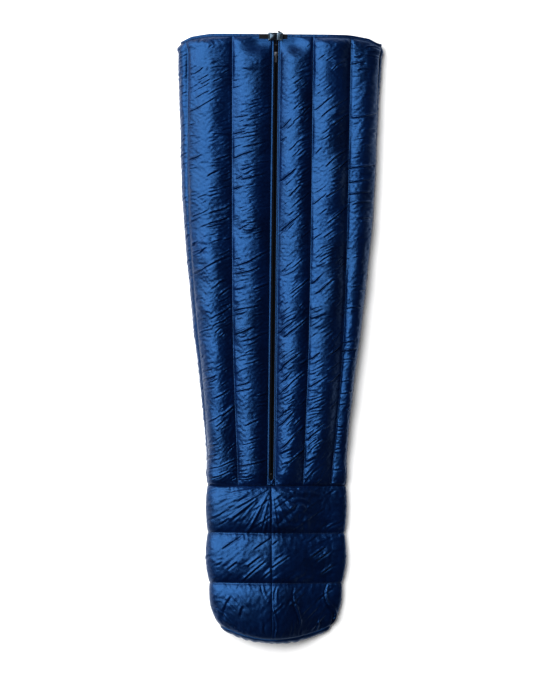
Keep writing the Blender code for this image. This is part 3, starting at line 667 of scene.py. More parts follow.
def press_under_buckle(points):
    """Holds the cloth below the neck closure, which lies on it and slides over it."""
    x = points[..., 0]
    y = points[..., 1]
    (low, low_fade), (left, left_fade), (right, right_fade) = BUCKLE_ROOM_EDGES
    near = ease((y - low) / low_fade) * ease((x - left) / left_fade) * ease((right - x) / right_fade)
    z = points[..., 2]
    points[..., 2] = np.where(z > BUCKLE_ROOM_Z, lerp(z, BUCKLE_ROOM_Z, near), z)
    return points


def keep_off_zipper(points, columns):
    """Keeps the chambers beside the zipper from leaning over it."""
    u = points[..., 0] - zip_x(points[..., 1])
    for column in columns:
        side = 1.0 if u[:, column].mean() > 0 else -1.0
        short = np.maximum(0.0, PLACKET_MIDDLE - side * u[:, column])
        points[:, column, 0] += side * short
    return points


def torso_piece(name, first, last, nodes, materials, seed, fine=FINE):
    """One fabric panel of the torso with its lining, filled with down."""
    panel = TorsoPanel(first, last)
    start = wall_points(panel.y, panel.arc, panel.offsets(START_CROWN * CROWN_OUT, 1))
    outer = puff(start, panel.pinned(), PUFF_CAP, seed)
    places = np.stack([panel.arc, panel.y + 0 * panel.arc], axis=-1)
    rows = len(panel.y)
    breaks = ([0, rows - HEM_ROWS - 1, rows - 1], panel.breaks)
    outer = refine_both(outer, *breaks, fine)
    places = refine_both(places, *breaks, fine)
    chamber = np.repeat(panel.chamber, fine)[fine - 1:]
    share, width = share_in_chamber(places[..., 0], places[:, :1, 1], chamber)
    distance = width * np.minimum(share, 1 - share)
    height = torso_wrinkles(places[..., 0], places[..., 1], share, chamber[None, :], distance)
    outer = press_under_buckle(raised(outer, height, FOLDS_ON_UPRIGHT))
    if panel.zip_first:
        edge = fine * len(PLACKET)
        outer = keep_off_zipper(outer, range(edge + 1, edge + 4 * fine + 1))
    if panel.zip_last:
        edge = outer.shape[1] - 1 - fine * len(PLACKET)
        outer = keep_off_zipper(outer, range(edge - 4 * fine, edge))
    inner = wall_points(panel.y, panel.arc, panel.offsets(CROWN_IN, -1))
    piece = closed_body(name, outer, inner, places, distance, materials)
    return add_piece(piece, "root", nodes)


# ---- Footbox ----
RING_DEPTH = 0.15
RING_TOP_SHIFT = 0.00015
SIDE_PUFF = 0.15
SIDE_CROWN = 0.0055
FOLDS_ON_RING_SIDES = 0.30
ZIP_END = (ZIP_WAIST_X, WAIST_Y - 0.002)
FAN_REACH = 0.19
RING_PUCKER_SPACING = 0.013
RAY_HEIGHT = 0.0085
FACET_HEIGHT = 0.0060
# Heights of the other kinds of fold on the first, the second and the last ring.
UPPER_PUCKERS = 0.0058
LOWER_PUCKERS = (0.0034, 0.0034, 0.0058)
LONG_FOLDS = (0.0, 0.0, 0.0070)
SLANTED_FOLDS = (0.0034, 0.0034, 0.0008)
CUTS = (0.0020, 0.0045, 0.0020)
RING_CRUMPLE = 0.0008


def footbox_wrinkles(x, y_true, arc, y, v, ring, front):
    """Small folds of the footbox's cloth, in metres outwards."""
    depth_below = v * RING_DEPTH
    depth_above = (1 - v) * RING_DEPTH
    lively = 0.35 + 0.65 * patches(arc, y + 3 * ring, 0.06, -0.3, 0.3, 61)
    run = arc / RING_PUCKER_SPACING
    upper = puckers(run, depth_below / 0.05 + ring * 2.7, depth_below, 0.014, 62)
    lower = puckers(run, depth_above / 0.05 + ring * 1.9, depth_above, 0.011, 63)
    height = lively * (UPPER_PUCKERS * upper + np.take(LOWER_PUCKERS, ring) * lower)
    inside = between(v, 0, 1, 0.12)
    # Rays from the zipper's lower end over the first ring.
    dx = x - ZIP_END[0]
    dy = y_true - ZIP_END[1]
    reach = np.hypot(dx, dy)
    turn = np.arctan2(dy, dx)
    ray = billow(turn / 0.105, reach / 0.16, 64)
    fade = ease(reach / 0.02) * ease((FAN_REACH - reach) / 0.06)
    side = np.where(dx < 0, 1.0, 0.60)
    fan = (ring == 0) & front
    height += RAY_HEIGHT * fan * side * fade * ray * ease(v / 0.06)
    # Irregular facets right of the rays.
    facet = np.abs(noise2(x / 0.034 + y_true / 0.09, y_true / 0.026, 70)) ** 0.7
    height += FACET_HEIGHT * fan * ease(dx / 0.03) * ease((0.15 - dx) / 0.05) * facet * inside
    # Long folds along the bag on the last ring, and slanted ones elsewhere.
    sway = 0.010 * np.sin(y / 0.022)
    long_fold = creases(arc + sway, y, 0.026, 0.09, 65)
    where = patches(arc, y, 0.10, -0.5, 0.0, 66)
    height += np.take(LONG_FOLDS, ring) * where * long_fold * inside
    slanted = billow((y - 0.6 * arc) / 0.022, (arc + 0.6 * y) / 0.10, 67)
    where = patches(arc, y, 0.09, 0.0, 0.4, 68)
    height += np.take(SLANTED_FOLDS, ring) * where * slanted * inside
    slope = math.hypot(1, 0.7)
    cut = creases((y - 0.7 * arc) / slope, (arc + 0.7 * y) / slope, 0.030, 0.060, 72)
    height += np.take(CUTS, ring) * cut * inside
    height += RING_CRUMPLE * inside * noise2(arc / CRUMPLE_SPACING, y / CRUMPLE_SPACING, 69)
    return height


def ring_place(y):
    """The ring at each place along the footbox, and the share of the way down it."""
    bounds = np.array([*RING_SEAMS_Y, FOOT_CORNER_Y])
    ring = np.clip(np.searchsorted(-bounds, -y) - 1, 0, len(bounds) - 2)
    high = bounds[ring]
    low = bounds[ring + 1]
    return ring, np.clip((high - y) / (high - low), 0, 1)


def footbox_rows():
    """Places along the footbox, foot first, and the numbers of its seam rows."""
    y = [FOOT_CORNER_Y]
    breaks = [0]
    bounds = (FOOT_CORNER_Y, *reversed(RING_SEAMS_Y))
    for low, high in zip(bounds[:-1], bounds[1:]):
        y += np.linspace(low, high, even_steps(high - low) + 1)[1:].tolist()
        breaks.append(len(y) - 1)
    return np.array(y)[:, None], breaks


def footbox_arcs(y):
    """Arc lengths round the footbox, in equal steps."""
    seam = smooth_through(FOOT_SEAM_X, y)
    length = Section(y).length
    t = np.linspace(0, 1, even_steps(float(length.mean())) + 1)[None, :]
    return seam + length * t


def footbox_offsets(y, arc, share, crown_depth, side_depth):
    up = np.abs(Section(y).at(arc)[3])
    return SEAM_HALF + lerp(side_depth, crown_depth, up) * crown_shape(share)


def footbox_piece(nodes, materials):
    """The closed footbox: three quilted rings joined along the front."""
    y, breaks = footbox_rows()
    _, share = ring_place(y)
    arc = footbox_arcs(y)
    reach = footbox_offsets(y, arc, share, START_CROWN * CROWN_OUT, SIDE_CROWN)
    # The front seam pulls the cloth down into a shallow groove.
    from_seam = np.minimum(arc - arc[:, :1], arc[:, -1:] - arc)
    reach = lerp(SEAM_HALF, reach, 0.90 + 0.10 * ease(from_seam / 0.009))
    start = wall_points(y, arc, reach)
    start[:, -1] = start[:, 0]
    pinned = np.zeros(arc.shape, bool)
    pinned[breaks] = True
    pinned[:, [0, -1]] = True
    blown = puff(start, pinned, PUFF_CAP, 71)
    outer = start + (blown - start) * lerp(SIDE_PUFF, 1.0, np.abs(Section(y).at(arc)[3]))[..., None]
    outer[-1, :, 1] -= RING_TOP_SHIFT
    places = np.stack([arc, y + 0 * arc], axis=-1)
    columns = [0, arc.shape[1] - 1]
    outer = refine_both(outer, breaks, columns, FINE)
    places = refine_both(places, breaks, columns, FINE)
    arc_fine = places[..., 0]
    y_fine = places[..., 1]
    ring, share_fine = ring_place(y_fine)
    front = outer[..., 2] > FOOT_FRONT_Z * 0.6
    height = footbox_wrinkles(outer[..., 0], outer[..., 1], arc_fine, y_fine, share_fine, ring, front)
    edge = np.minimum(arc_fine - arc_fine[:, :1], arc_fine[:, -1:] - arc_fine)
    outer = raised(outer, height * ease(edge / 0.006), FOLDS_ON_RING_SIDES)
    distance = np.minimum(np.minimum(share_fine, 1 - share_fine) * RING_DEPTH, edge)
    inner = wall_points(y, arc, -footbox_offsets(y, arc, share, CROWN_IN, CROWN_IN))
    piece = closed_body("footbox", outer, inner, places, distance, materials)
    return add_piece(piece, "root", nodes)


# ---- Foot end ----
END_TIP_TURN = 86.0
END_TIP_COLUMNS = 12
END_ROW_COUNT = 24
END_GAP = 0.0003
END_FOLDS = 0.0048


def end_outline():
    """Across the foot end: sideways direction of each column's turn and its place on the flat."""
    turn = np.radians(np.linspace(END_TIP_TURN, 0, END_TIP_COLUMNS + 1))
    section = Section(np.array(FOOT_CORNER_Y))
    flat = np.linspace(-section.left, section.right, even_steps(float(section.flat), 0.004) + 1)
    turns = np.concatenate([-turn, np.zeros(len(flat) - 2), turn[::-1]])
    hubs = np.concatenate([np.full(len(turn), flat[0]), flat[1:-1], np.full(len(turn), flat[-1])])
    return section, hubs, turns


def end_grid(reach_offset, drop, bulge, rows, wrinkle=0.0):
    """Grid over the foot end's outline, domed towards the foot; columns run left to right."""
    section, hubs, turns = end_outline()
    reach = section.radius + reach_offset
    half = reach * np.cos(turns)
    x = hubs + reach * np.sin(turns)
    seam_x = hubs + section.radius * np.sin(turns)
    share = np.linspace(1, -1, rows + 1)[:, None]
    dome = np.cos(turns) * (1 - share**2) ** 0.6
    to_edge = half * (1 - np.abs(share))
    gather = billow(x / 0.011, to_edge / 0.05 + (share > 0) * 5.0, 81) * np.exp(-to_edge / 0.012)
    fold = billow(x / 0.026, share / 2.2, 82) * (1 - share**2)
    relief = wrinkle * ease(to_edge / 0.004) * (0.6 * gather + 1.2 * fold)
    y = FOOT_CORNER_Y - foot_curve(seam_x) - drop - bulge * dome - relief
    z = settled(x, FOOT_CORNER_Y, (section.top + section.bottom) / 2 + half * share)
    return np.stack([x + 0 * share, y, z], axis=-1)


def foot_end_piece(nodes, materials):
    outer = end_grid(SEAM_HALF, END_GAP, END_SEAM_DROP + FOOT_BULGE, END_ROW_COUNT, END_FOLDS)
    inner = end_grid(-SEAM_HALF - END_GAP, END_GAP, -END_INNER_BULGE, END_ROW_COUNT // 2)
    inner = inner[:, ::2]
    places = outer[..., [0, 2]]
    half = np.abs(np.linspace(1, -1, END_ROW_COUNT + 1))[:, None] + 0 * outer[..., 0]
    piece = closed_body("foot_end", outer, inner, places, (1 - half) * 0.027, materials)
    return add_piece(piece, "root", nodes)


# ---- Neck binding ----
BINDING_CLEAR = 0.0003
BINDING_CLOTH = 0.0005
BINDING_STEP = 0.002
BINDING_PUCKERS = 0.0014
# The hem's row of stitches lies this far below the neck's edge.
STITCH_DROP = 0.0052


def binding_piece(materials):
    """Strip folded round the neck's edge, gathered by its stitching."""
    start = zip_x(NECK_Y) + ZIP_BAND
    end = Section([[NECK_Y]]).length.item() + zip_x(NECK_Y) - ZIP_BAND
    arc = np.linspace(start, end, even_steps(end - start, BINDING_STEP) + 1)[None, :]
    reach = HEM_HALF + BINDING_CLEAR

    def strip(offset, cap):
        profile = np.array([
            (-BINDING_WIDTH, 1.0), (-0.0062, 1.0), (-STITCH_DROP, 1.0), (-0.0042, 1.0), (-0.0028, 1.0),
            (-0.0013, 1.0), (0.0, 0.95), (cap * 0.8, 0.62), (cap, 0.0), (cap * 0.8, -0.62),
            (0.0, -0.95), (-0.003, -1.0), (-STITCH_DROP, -1.0), (-BINDING_WIDTH, -1.0),
        ])
        y = NECK_Y + profile[:, :1]
        side = profile[:, 1:]
        # Cloth bulges a little between the puckers, and dips at the row of stitches.
        stitched = np.exp(-((profile[:, :1] + STITCH_DROP) / 0.0012) ** 2)
        pucker = billow(arc / 0.0085, profile[:, :1] / 0.012, 91) * ease(-profile[:, :1] / 0.002)
        where = (1 - 0.7 * stitched) * patches(arc, y, 0.05, -0.5, 0.1, 92)
        bulge = 0.0004 * (1 - stitched) + BINDING_PUCKERS * pucker * where
        points = wall_points(np.minimum(y, NECK_Y), arc, side * (offset + np.where(side > 0.9, bulge, 0)))
        points[..., 1] += np.maximum(profile[:, :1], 0)
        return points

    outer = strip(reach + BINDING_CLOTH, 0.0014)
    inner = strip(reach, 0.0010)
    places = np.stack(np.broadcast_arrays(arc, np.linspace(0, 0.03, len(outer))[:, None]), axis=-1)
    piece = closed_body("neck_edge_binding", outer, inner, places, 0.01 + 0 * outer[..., 0], materials)
    return add_piece(piece, "root", ["neck_binding"])


# ---- Stitching ----
STITCH_LENGTH = 0.0026
STITCH_PITCH = 0.0038
STITCH_RADIUS = 0.00036
STITCH_RINGS = ((-0.5, 0.25), (-0.38, 0.9), (0.0, 1.0), (0.38, 0.9), (0.5, 0.25))
STITCH_SIDES = 6
SEAM_SAMPLES = 400
RING_SAMPLES = 1200
HEM_SAMPLES = 1600


def frames_along(path, up):
    """Directions along, across and up at each point of a path."""
    along = np.gradient(path, axis=0)
    along /= np.linalg.norm(along, axis=1, keepdims=True)
    across = np.cross(along, up)
    across /= np.linalg.norm(across, axis=1, keepdims=True)
    return along, across, np.cross(across, along)


def even_path(path, up, pitch):
    """Points at an even pitch along a path, with the up direction at each."""
    steps = np.linalg.norm(np.diff(path, axis=0), axis=1)
    gone = np.concatenate([[0], np.cumsum(steps)])
    places = np.arange(pitch / 2, gone[-1], pitch)
    spread = np.stack([np.interp(places, gone, path[:, k]) for k in range(3)], axis=1)
    ups = np.stack([np.interp(places, gone, up[:, k]) for k in range(3)], axis=1)
    return spread, ups


def copies(name, template, faces, places, axes, materials):
    """One mesh of many copies of a template, each on its own axes."""
    axes = np.stack(axes, axis=1)
    vertices = places[:, None, :] + np.einsum("vk,nkj->nvj", template, axes)
    count = len(places)
    step = np.arange(count)[:, None] * len(template)
    all_faces = []
    for face in faces:
        all_faces += (step + np.array(face)[None, :]).tolist()
    return make_object(name, vertices.reshape(-1, 3).tolist(), all_faces, materials)


def tube_faces(rings, sides):
    """Quads of a tube of rings, and its two end caps."""
    faces = []
    for ring in range(rings - 1):
        for side in range(sides):
            a = ring * sides + side
            b = ring * sides + (side + 1) % sides
            faces.append((a, b, b + sides, a + sides))
    faces.append(tuple(reversed(range(sides))))
    faces.append(tuple(range((rings - 1) * sides, rings * sides)))
    return faces


def stitches(name, paths, materials):
    """Rows of stitches along paths; each path is its points and the cloth's outward directions."""
    template = []
    for place, size in STITCH_RINGS:
        radius = size * STITCH_RADIUS
        for side in range(STITCH_SIDES):
            turn = 2 * math.pi * side / STITCH_SIDES
            template.append((place * STITCH_LENGTH, radius * math.cos(turn), radius * math.sin(turn)))
    faces = tube_faces(len(STITCH_RINGS), STITCH_SIDES)
    places = []
    axes = ([], [], [])
    for path, up in paths:
        spread, ups = even_path(path, up, STITCH_PITCH)
        places.append(spread)
        for store, axis in zip(axes, frames_along(spread, ups)):
            store.append(axis)
    axes = [np.concatenate(axis) for axis in axes]
    piece = copies(name, np.array(template), faces, np.concatenate(places), axes, materials)
    return add_piece(piece, "root")


def wall_path(y, arc, offset):
    """Points along the wall and the outward direction at each."""
    x, _, across, up = Section(y).at(arc)
    return wall_points(y, arc, offset), np.stack([across, 0 * x, up], axis=-1)


def seam_stitching(materials):
    """Quilting stitches in the torso's and the footbox's seams, and the hem's own row."""
    y = np.linspace(WAIST_Y + 0.004, HEM_Y - 0.002, SEAM_SAMPLES)
    lift = STITCH_RADIUS * 0.4
    seam = seam_half(y) + lift
    quilting = [wall_path(y, arc_at(y), seam) for arc_at in TORSO_ARCS[1:-1]]
    for seam_y in RING_SEAMS_Y[1:]:
        row = np.full(RING_SAMPLES, seam_y)
        length = Section(row).length
        arc = smooth_through(FOOT_SEAM_X, row) + length * np.linspace(0.003, 0.997, len(row))
        quilting.append(wall_path(row, arc, SEAM_HALF + lift))
    stitches("quilting_stitches", quilting, materials)
    row = np.full(HEM_SAMPLES, NECK_Y - STITCH_DROP)
    start = zip_x(row) + ZIP_BAND + 0.003
    end = Section(row).length + zip_x(row) - ZIP_BAND - 0.003
    arc = lerp(start, end, np.linspace(0, 1, len(row)))
    hem = HEM_HALF + BINDING_CLEAR + BINDING_CLOTH + lift
    stitches("hem_stitches", [wall_path(row, arc, hem)], materials)


def placket_stitching(materials):
    """A row of stitches on each side of the zipper, just inside the folded edge."""
    y = np.linspace(WAIST_Y + 0.006, NECK_Y - BINDING_WIDTH - 0.002, SEAM_SAMPLES)
    column, reach = PLACKET[2]
    paths = []
    for side in (-1, 1):
        arc = np.mod(zip_x(y) + side * column, Section(y).length)
        paths.append(wall_path(y, arc, reach + STITCH_RADIUS * 0.4))
    stitches("placket_stitches", paths, materials)


# ---- Zipper ----
ZIP_TURN = math.atan2(ZIP_WAIST_X - ZIP_NECK_X, NECK_Y - WAIST_Y)
COIL_PITCH = 0.0015
COIL_MIDDLE = 0.00185
COIL_HEIGHT = 0.0017
COIL_RADII = (0.00105, 0.00078)
COIL_WIRE = 0.00031
COIL_SAMPLES = 10
COIL_SIDES = 5
COIL_LOW_Y = -0.420
COIL_HIGH_Y = 0.911


def on_zip(u, v, w):
    """Points given across, along and above the zipper, in the world."""
    x = zip_x(v) + u * math.cos(ZIP_TURN)
    return np.stack([x, v + u * math.sin(ZIP_TURN), FRONT_Z + w], axis=-1)


def coil_piece(side, hand, materials):
    """One side's coil: a flattened spiral of thick monofilament."""
    turns = int((COIL_HIGH_Y - COIL_LOW_Y - 2 * COIL_WIRE) / COIL_PITCH)
    count = turns * COIL_SAMPLES
    step = np.arange(count + 1)
    turn = 2 * math.pi * step / COIL_SAMPLES
    # The head that faces the other side is thicker, as it is on a real coil.
    u = COIL_MIDDLE - COIL_RADII[0] * np.cos(turn)
    w = COIL_HEIGHT + COIL_RADII[1] * np.sin(turn)
    v = COIL_LOW_Y + COIL_WIRE + COIL_PITCH * step / COIL_SAMPLES + (side > 0) * COIL_PITCH / 2
    v = np.minimum(v, COIL_HIGH_Y - COIL_WIRE)
    thick = COIL_WIRE * (1 + 0.18 * np.cos(turn))
    centre = on_zip(side * u, v, w)
    toward = (0.5 * COIL_WIRE * np.cos(turn), 0.5 * COIL_WIRE * np.sin(turn))
    inward = on_zip(side * (u + toward[0]), v, w - toward[1]) - centre
    inward /= np.linalg.norm(inward, axis=1, keepdims=True)
    lengthways = np.array([0.0, 1.0, 0.0])
    rings = []
    for k in range(COIL_SIDES):
        angle = 2 * math.pi * k / COIL_SIDES
        rings.append(centre + thick[:, None] * (math.cos(angle) * inward + math.sin(angle) * lengthways))
    vertices = np.stack(rings, axis=1).reshape(-1, 3)
    piece = make_object(f"coil_{hand}", vertices.tolist(), tube_faces(count + 1, COIL_SIDES), materials)
    return add_piece(piece, "root", [f"zip_coil_{hand}"])


END_FOLD_HALF = 0.0105
END_FOLD_LENGTH = 0.020


def zip_end_fold(materials):
    """The two small folds of shell cloth over the zipper's lower end."""
    u = np.linspace(-END_FOLD_HALF, END_FOLD_HALF, 29)[None, :]
    v = np.linspace(0.0, END_FOLD_LENGTH, 21)[:, None]
    share = v / END_FOLD_LENGTH
    ridge_place = 0.0062 * share
    ridge = np.exp(-((np.abs(u) - ridge_place) / 0.0016) ** 2)
    middle = np.exp(-(u / 0.0011) ** 2) * (1 - share)
    height = 0.0040 + 0.0034 * ridge * ease(share / 0.3) + 0.0022 * middle
    height = height + 0.0010 * noise2(u / 0.004, v / 0.006, 95)
    height *= ease((0.0112 - np.abs(u)) / 0.004) * 0.75 + 0.25
    edge = END_FOLD_LENGTH - 0.0060 * np.exp(-(u / 0.0035) ** 2)
    along = WAIST_Y + 0.0015 + edge * share
    outer = on_zip(u + 0 * v, along, height)
    inner = on_zip(u + 0 * v, along, height - 0.0006)[::2, ::2]
    places = np.stack([u + 0 * v, v + 0 * u], axis=-1)
    piece = closed_body("zip_end_fold", outer, inner, places, 0.01 + 0 * outer[..., 0], materials)
    return add_piece(piece, "root")


# ---- Hardware ----
CROWN_STEPS = 8


def crown_top(bm, depth):
    """Cuts a solid into a grid and domes its upper half."""
    low = Vector([min(v.co[k] for v in bm.verts) for k in range(3)])
    high = Vector([max(v.co[k] for v in bm.verts) for k in range(3)])
    for axis in (0, 1):
        normal = Vector((axis == 0, axis == 1, 0))
        for k in range(1, CROWN_STEPS):
            place = low.lerp(high, k / CROWN_STEPS)
            bmesh.ops.bisect_plane(bm, geom=bm.verts[:] + bm.edges[:] + bm.faces[:], plane_co=place,
                                   plane_no=normal, dist=1e-6)
    middle = (low + high) / 2
    half = (high - low) / 2
    for v in bm.verts:
        u = (v.co.x - middle.x) / half.x
        t = (v.co.y - middle.y) / half.y
        above = max(0.0, (v.co.z - middle.z) / half.z)
        v.co.z += depth * above * (1 - u * u) * (1 - t * t)


def rounded_copy(node, name, slot_name, body, width, material, crown=0.0):
    """A copy of a CAD solid with its edges rounded, in the solid's place."""
    bm = bmesh.new()
    bm.from_mesh(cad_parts[node].data)
    bmesh.ops.remove_doubles(bm, verts=bm.verts, dist=1e-6)
    bmesh.ops.dissolve_limit(bm, angle_limit=math.radians(2), verts=bm.verts, edges=bm.edges)
    folded = [edge for edge in bm.edges if len(edge.link_faces) == 2]
    sharp = [edge for edge in folded if edge.calc_face_angle() > math.radians(25)]
    bmesh.ops.bevel(bm, geom=sharp, offset=width, segments=3, profile=0.5, affect="EDGES",
                    clamp_overlap=True)
    if crown:
        crown_top(bm, crown)
    bmesh.ops.recalc_face_normals(bm, faces=bm.faces)
    mesh = bpy.data.meshes.new(name)
    bm.to_mesh(mesh)
    bm.free()
    mesh.materials.append(material)
    mesh.polygons.foreach_set("use_smooth", np.ones(len(mesh.polygons), bool))
    mesh.set_sharp_from_angle(angle=math.radians(40))
    return add_piece(new_object(name, mesh), body, [node])


# ---- Materials ----
class Graph:
    """Short names for building a material's nodes."""

    def __init__(self, name, color, roughness, **sockets):
        self.material = bpy.data.materials.new(name)
        self.material.use_nodes = True
        self.tree = self.material.node_tree
        self.shader = self.tree.nodes["Principled BSDF"]
        self.shader.inputs["Base Color"].default_value = (*color, 1)
        self.shader.inputs["Roughness"].default_value = roughness
        for socket, value in sockets.items():
            self.shader.inputs[socket.replace("_", " ")].default_value = value

    def node(self, kind, **settings):
        node = self.tree.nodes.new(kind)
        set_all(node, settings)
        return node

    def feed(self, socket, value):
        """Links a socket to another, or sets its number."""
        if isinstance(value, bpy.types.NodeSocket):
            self.tree.links.new(value, socket)
        else:
            socket.default_value = value

    def fill(self, node, *values, **named):
        """Feeds a node's inputs, in order or by name, and gives its first output."""
        for socket, value in zip(node.inputs, values):
            self.feed(socket, value)
        for name, value in named.items():
            self.feed(node.inputs[name], value)
        return node.outputs[0]

    def math(self, operation, a, b):
        return self.fill(self.node("ShaderNodeMath", operation=operation), a, b)

    def remap(self, value, low, high, to_low, to_high):
        node = self.node("ShaderNodeMapRange", interpolation_type="SMOOTHSTEP")
        return self.fill(node, value, low, high, to_low, to_high)

    def object_place(self, scale=(1, 1, 1), turn=(0, 0, 0)):
        place = self.node("ShaderNodeTexCoord").outputs["Object"]
        return self.mapped(place, scale, turn)

    def cloth_place(self, scale=(1, 1, 1), turn=(0, 0, 0)):
        """Place in the cut cloth, in metres."""
        return self.mapped(self.node("ShaderNodeUVMap", uv_map="cloth").outputs[0], scale, turn)

    def mapped(self, place, scale, turn):
        return self.fill(self.node("ShaderNodeMapping"), Vector=place, Scale=scale, Rotation=turn)

    def noise(self, place, scale, detail=2.0, roughness=0.5, distortion=0.0):
        node = self.node("ShaderNodeTexNoise")
        self.fill(node, Vector=place, Scale=scale, Detail=detail, Roughness=roughness, Distortion=distortion)
        return node.outputs["Fac"]

    def wave(self, place, axis, spacing):
        """Stripes square to an axis, a spacing apart in metres."""
        node = self.node("ShaderNodeTexWave", bands_direction=axis, wave_profile="SIN")
        self.fill(node, Vector=place, Scale=2 * math.pi / (20 * spacing))
        return node.outputs["Fac"]

    def crossed(self, operation, place, spacing):
        """Stripes along both axes, joined by an operation."""
        return self.math(operation, self.wave(place, "X", spacing), self.wave(place, "Y", spacing))

    def blend_colors(self, share, first, second):
        node = self.node("ShaderNodeMix", data_type="RGBA")
        self.feed(node.inputs[0], share)
        for socket, color in ((node.inputs[6], first), (node.inputs[7], second)):
            if isinstance(color, tuple):
                color = (*color, 1)
            self.feed(socket, color)
        return node.outputs[2]

    def bump(self, height, distance, normal=None):
        node = self.node("ShaderNodeBump")
        if normal is not None:
            self.feed(node.inputs["Normal"], normal)
        return self.fill(node, Strength=1.0, Distance=distance, Height=height)

    def finish(self, color=None, roughness=None, normal=None):
        for name, value in (("Base Color", color), ("Roughness", roughness), ("Normal", normal)):
            if value is not None:
                self.feed(self.shader.inputs[name], value)
        return self.material


# Dark and light tones of each material.
SHELL_TONES = ((0.0002, 0.0032, 0.0190), (0.0004, 0.0060, 0.0320))
LINING_TONES = ((0.003, 0.013, 0.042), (0.005, 0.020, 0.060))
BINDING_TONES = ((0.0002, 0.0028, 0.0170), (0.0005, 0.0055, 0.0290))
THREAD_TONES = ((0.007, 0.022, 0.060), (0.020, 0.055, 0.140))
WEBBING_TONES = ((0.0015, 0.0018, 0.003), (0.005, 0.007, 0.012))
TAPE_TONES = ((0.0020, 0.0020, 0.0028), (0.0050, 0.0050, 0.0065))
ENAMEL_TONES = ((0.005, 0.005, 0.006), (0.05, 0.052, 0.06))
PLASTIC_TONES = ((0.003, 0.003, 0.004), (0.005, 0.005, 0.007))
SHELL_SPECULAR = (0.13, 0.42, 1.0, 1)
SHELL_SHEEN = (0.35, 0.55, 1.0, 1)
RIPSTOP_SPACING = 0.005
WEAVE_SPACING = 0.00045


def nylon(name, dark, light, roughness, gloss, crinkle):
    """Thin calendered nylon: a fine ripstop weave, small crinkles and an uneven gloss."""
    graph = Graph(name, dark, roughness, Specular_IOR_Level=gloss, Specular_Tint=SHELL_SPECULAR,
                  Sheen_Weight=0.06, Sheen_Roughness=0.45, Sheen_Tint=SHELL_SHEEN)
    cloth = graph.cloth_place()
    seam = graph.node("ShaderNodeAttribute", attribute_name="seam_distance").outputs["Fac"]
    by_seam = graph.remap(seam, 0.0, 0.030, 1.0, 0.0)
    broad = graph.noise(graph.object_place(), 9.0, 3.0)
    fine = graph.noise(graph.object_place(), 160.0, 3.0, 0.6)
    tone = graph.math("ADD", graph.math("MULTIPLY", broad, 0.75), graph.math("MULTIPLY", fine, 0.25))
    color = graph.blend_colors(graph.remap(tone, 0.36, 0.64, 0.0, 1.0), dark, light)
    # Painted shadow of the sewing thread along the seam line: the colour darkens within about 2 mm of the
    # seam.
    painted_seam_shadow = tuple(0.35 * c for c in dark)
    color = graph.blend_colors(graph.remap(seam, 0.0, 0.0022, 0.45, 0.0), color, painted_seam_shadow)
    gathers = graph.noise(graph.cloth_place((24, 150, 1)), 1.0, 3.0, 0.55, 0.3)
    slack = graph.noise(graph.cloth_place((60, 90, 1), (0, 0, 0.7)), 1.0, 4.0, 0.6, 0.6)
    relief = graph.math("MULTIPLY", gathers, graph.math("ADD", by_seam, 0.30))
    relief = graph.math("ADD", relief, graph.math("MULTIPLY", slack, 0.5))
    normal = graph.bump(relief, crinkle)
    normal = graph.bump(graph.noise(graph.object_place(), 420.0, 2.0), 0.00008, normal)
    cord = graph.crossed("MAXIMUM", cloth, RIPSTOP_SPACING)
    normal = graph.bump(graph.remap(cord, 0.95, 1.0, 0.0, 1.0), 0.00006, normal)
    normal = graph.bump(graph.crossed("MULTIPLY", cloth, WEAVE_SPACING), 0.00003, normal)
    rough = graph.remap(fine, 0.25, 0.75, roughness - 0.07, roughness + 0.09)
    return graph.finish(color, rough, normal)


def webbing_material():
    graph = Graph("woven_webbing", WEBBING_TONES[0], 0.62, Specular_IOR_Level=0.15)
    place = graph.object_place()
    ribs = graph.wave(place, "Y", 0.0011)
    picks = graph.wave(place, "X", 0.0009)
    height = graph.math("MULTIPLY", ribs, graph.math("ADD", picks, 0.4))
    color = graph.blend_colors(height, *WEBBING_TONES)
    fuzz = graph.noise(place, 1800.0, 2.0)
    return graph.finish(color, graph.remap(fuzz, 0.3, 0.7, 0.5, 0.75), graph.bump(height, 0.00025))


def tape_material():
    """Herringbone zipper tape."""
    graph = Graph("herringbone_tape", TAPE_TONES[0], 0.75, Specular_IOR_Level=0.05)
    axes = graph.node("ShaderNodeSeparateXYZ")
    graph.feed(axes.inputs[0], graph.object_place())
    zigzag = graph.math("PINGPONG", axes.outputs["X"], 0.0016)
    slanted = graph.node("ShaderNodeCombineXYZ")
    graph.feed(slanted.inputs["X"], graph.math("ADD", axes.outputs["Y"], zigzag))
    twill = graph.wave(slanted.outputs[0], "X", 0.0007)
    color = graph.blend_colors(twill, *TAPE_TONES)
    return graph.finish(color, None, graph.bump(twill, 0.00012))


def enamel_material(name):
    """Black enamel over metal, rubbed bright at its edges and lightly scratched."""
    graph = Graph(name, ENAMEL_TONES[0], 0.45, Specular_IOR_Level=0.15)
    place = graph.object_place()
    edge = graph.node("ShaderNodeNewGeometry").outputs["Pointiness"]
    rubbed = graph.math("ADD", edge, graph.math("MULTIPLY", graph.noise(place, 900.0, 4.0), 0.10))
    worn = graph.remap(rubbed, 0.600, 0.66, 0.0, 1.0)
    scratch = graph.noise(graph.object_place((3500, 300, 900), (0.2, 0.1, 0.6)), 1.0, 3.0)
    color = graph.blend_colors(worn, *ENAMEL_TONES)
    graph.feed(graph.shader.inputs["Metallic"], worn)
    return graph.finish(color, graph.remap(scratch, 0.35, 0.7, 0.34, 0.50), graph.bump(scratch, 0.00002))


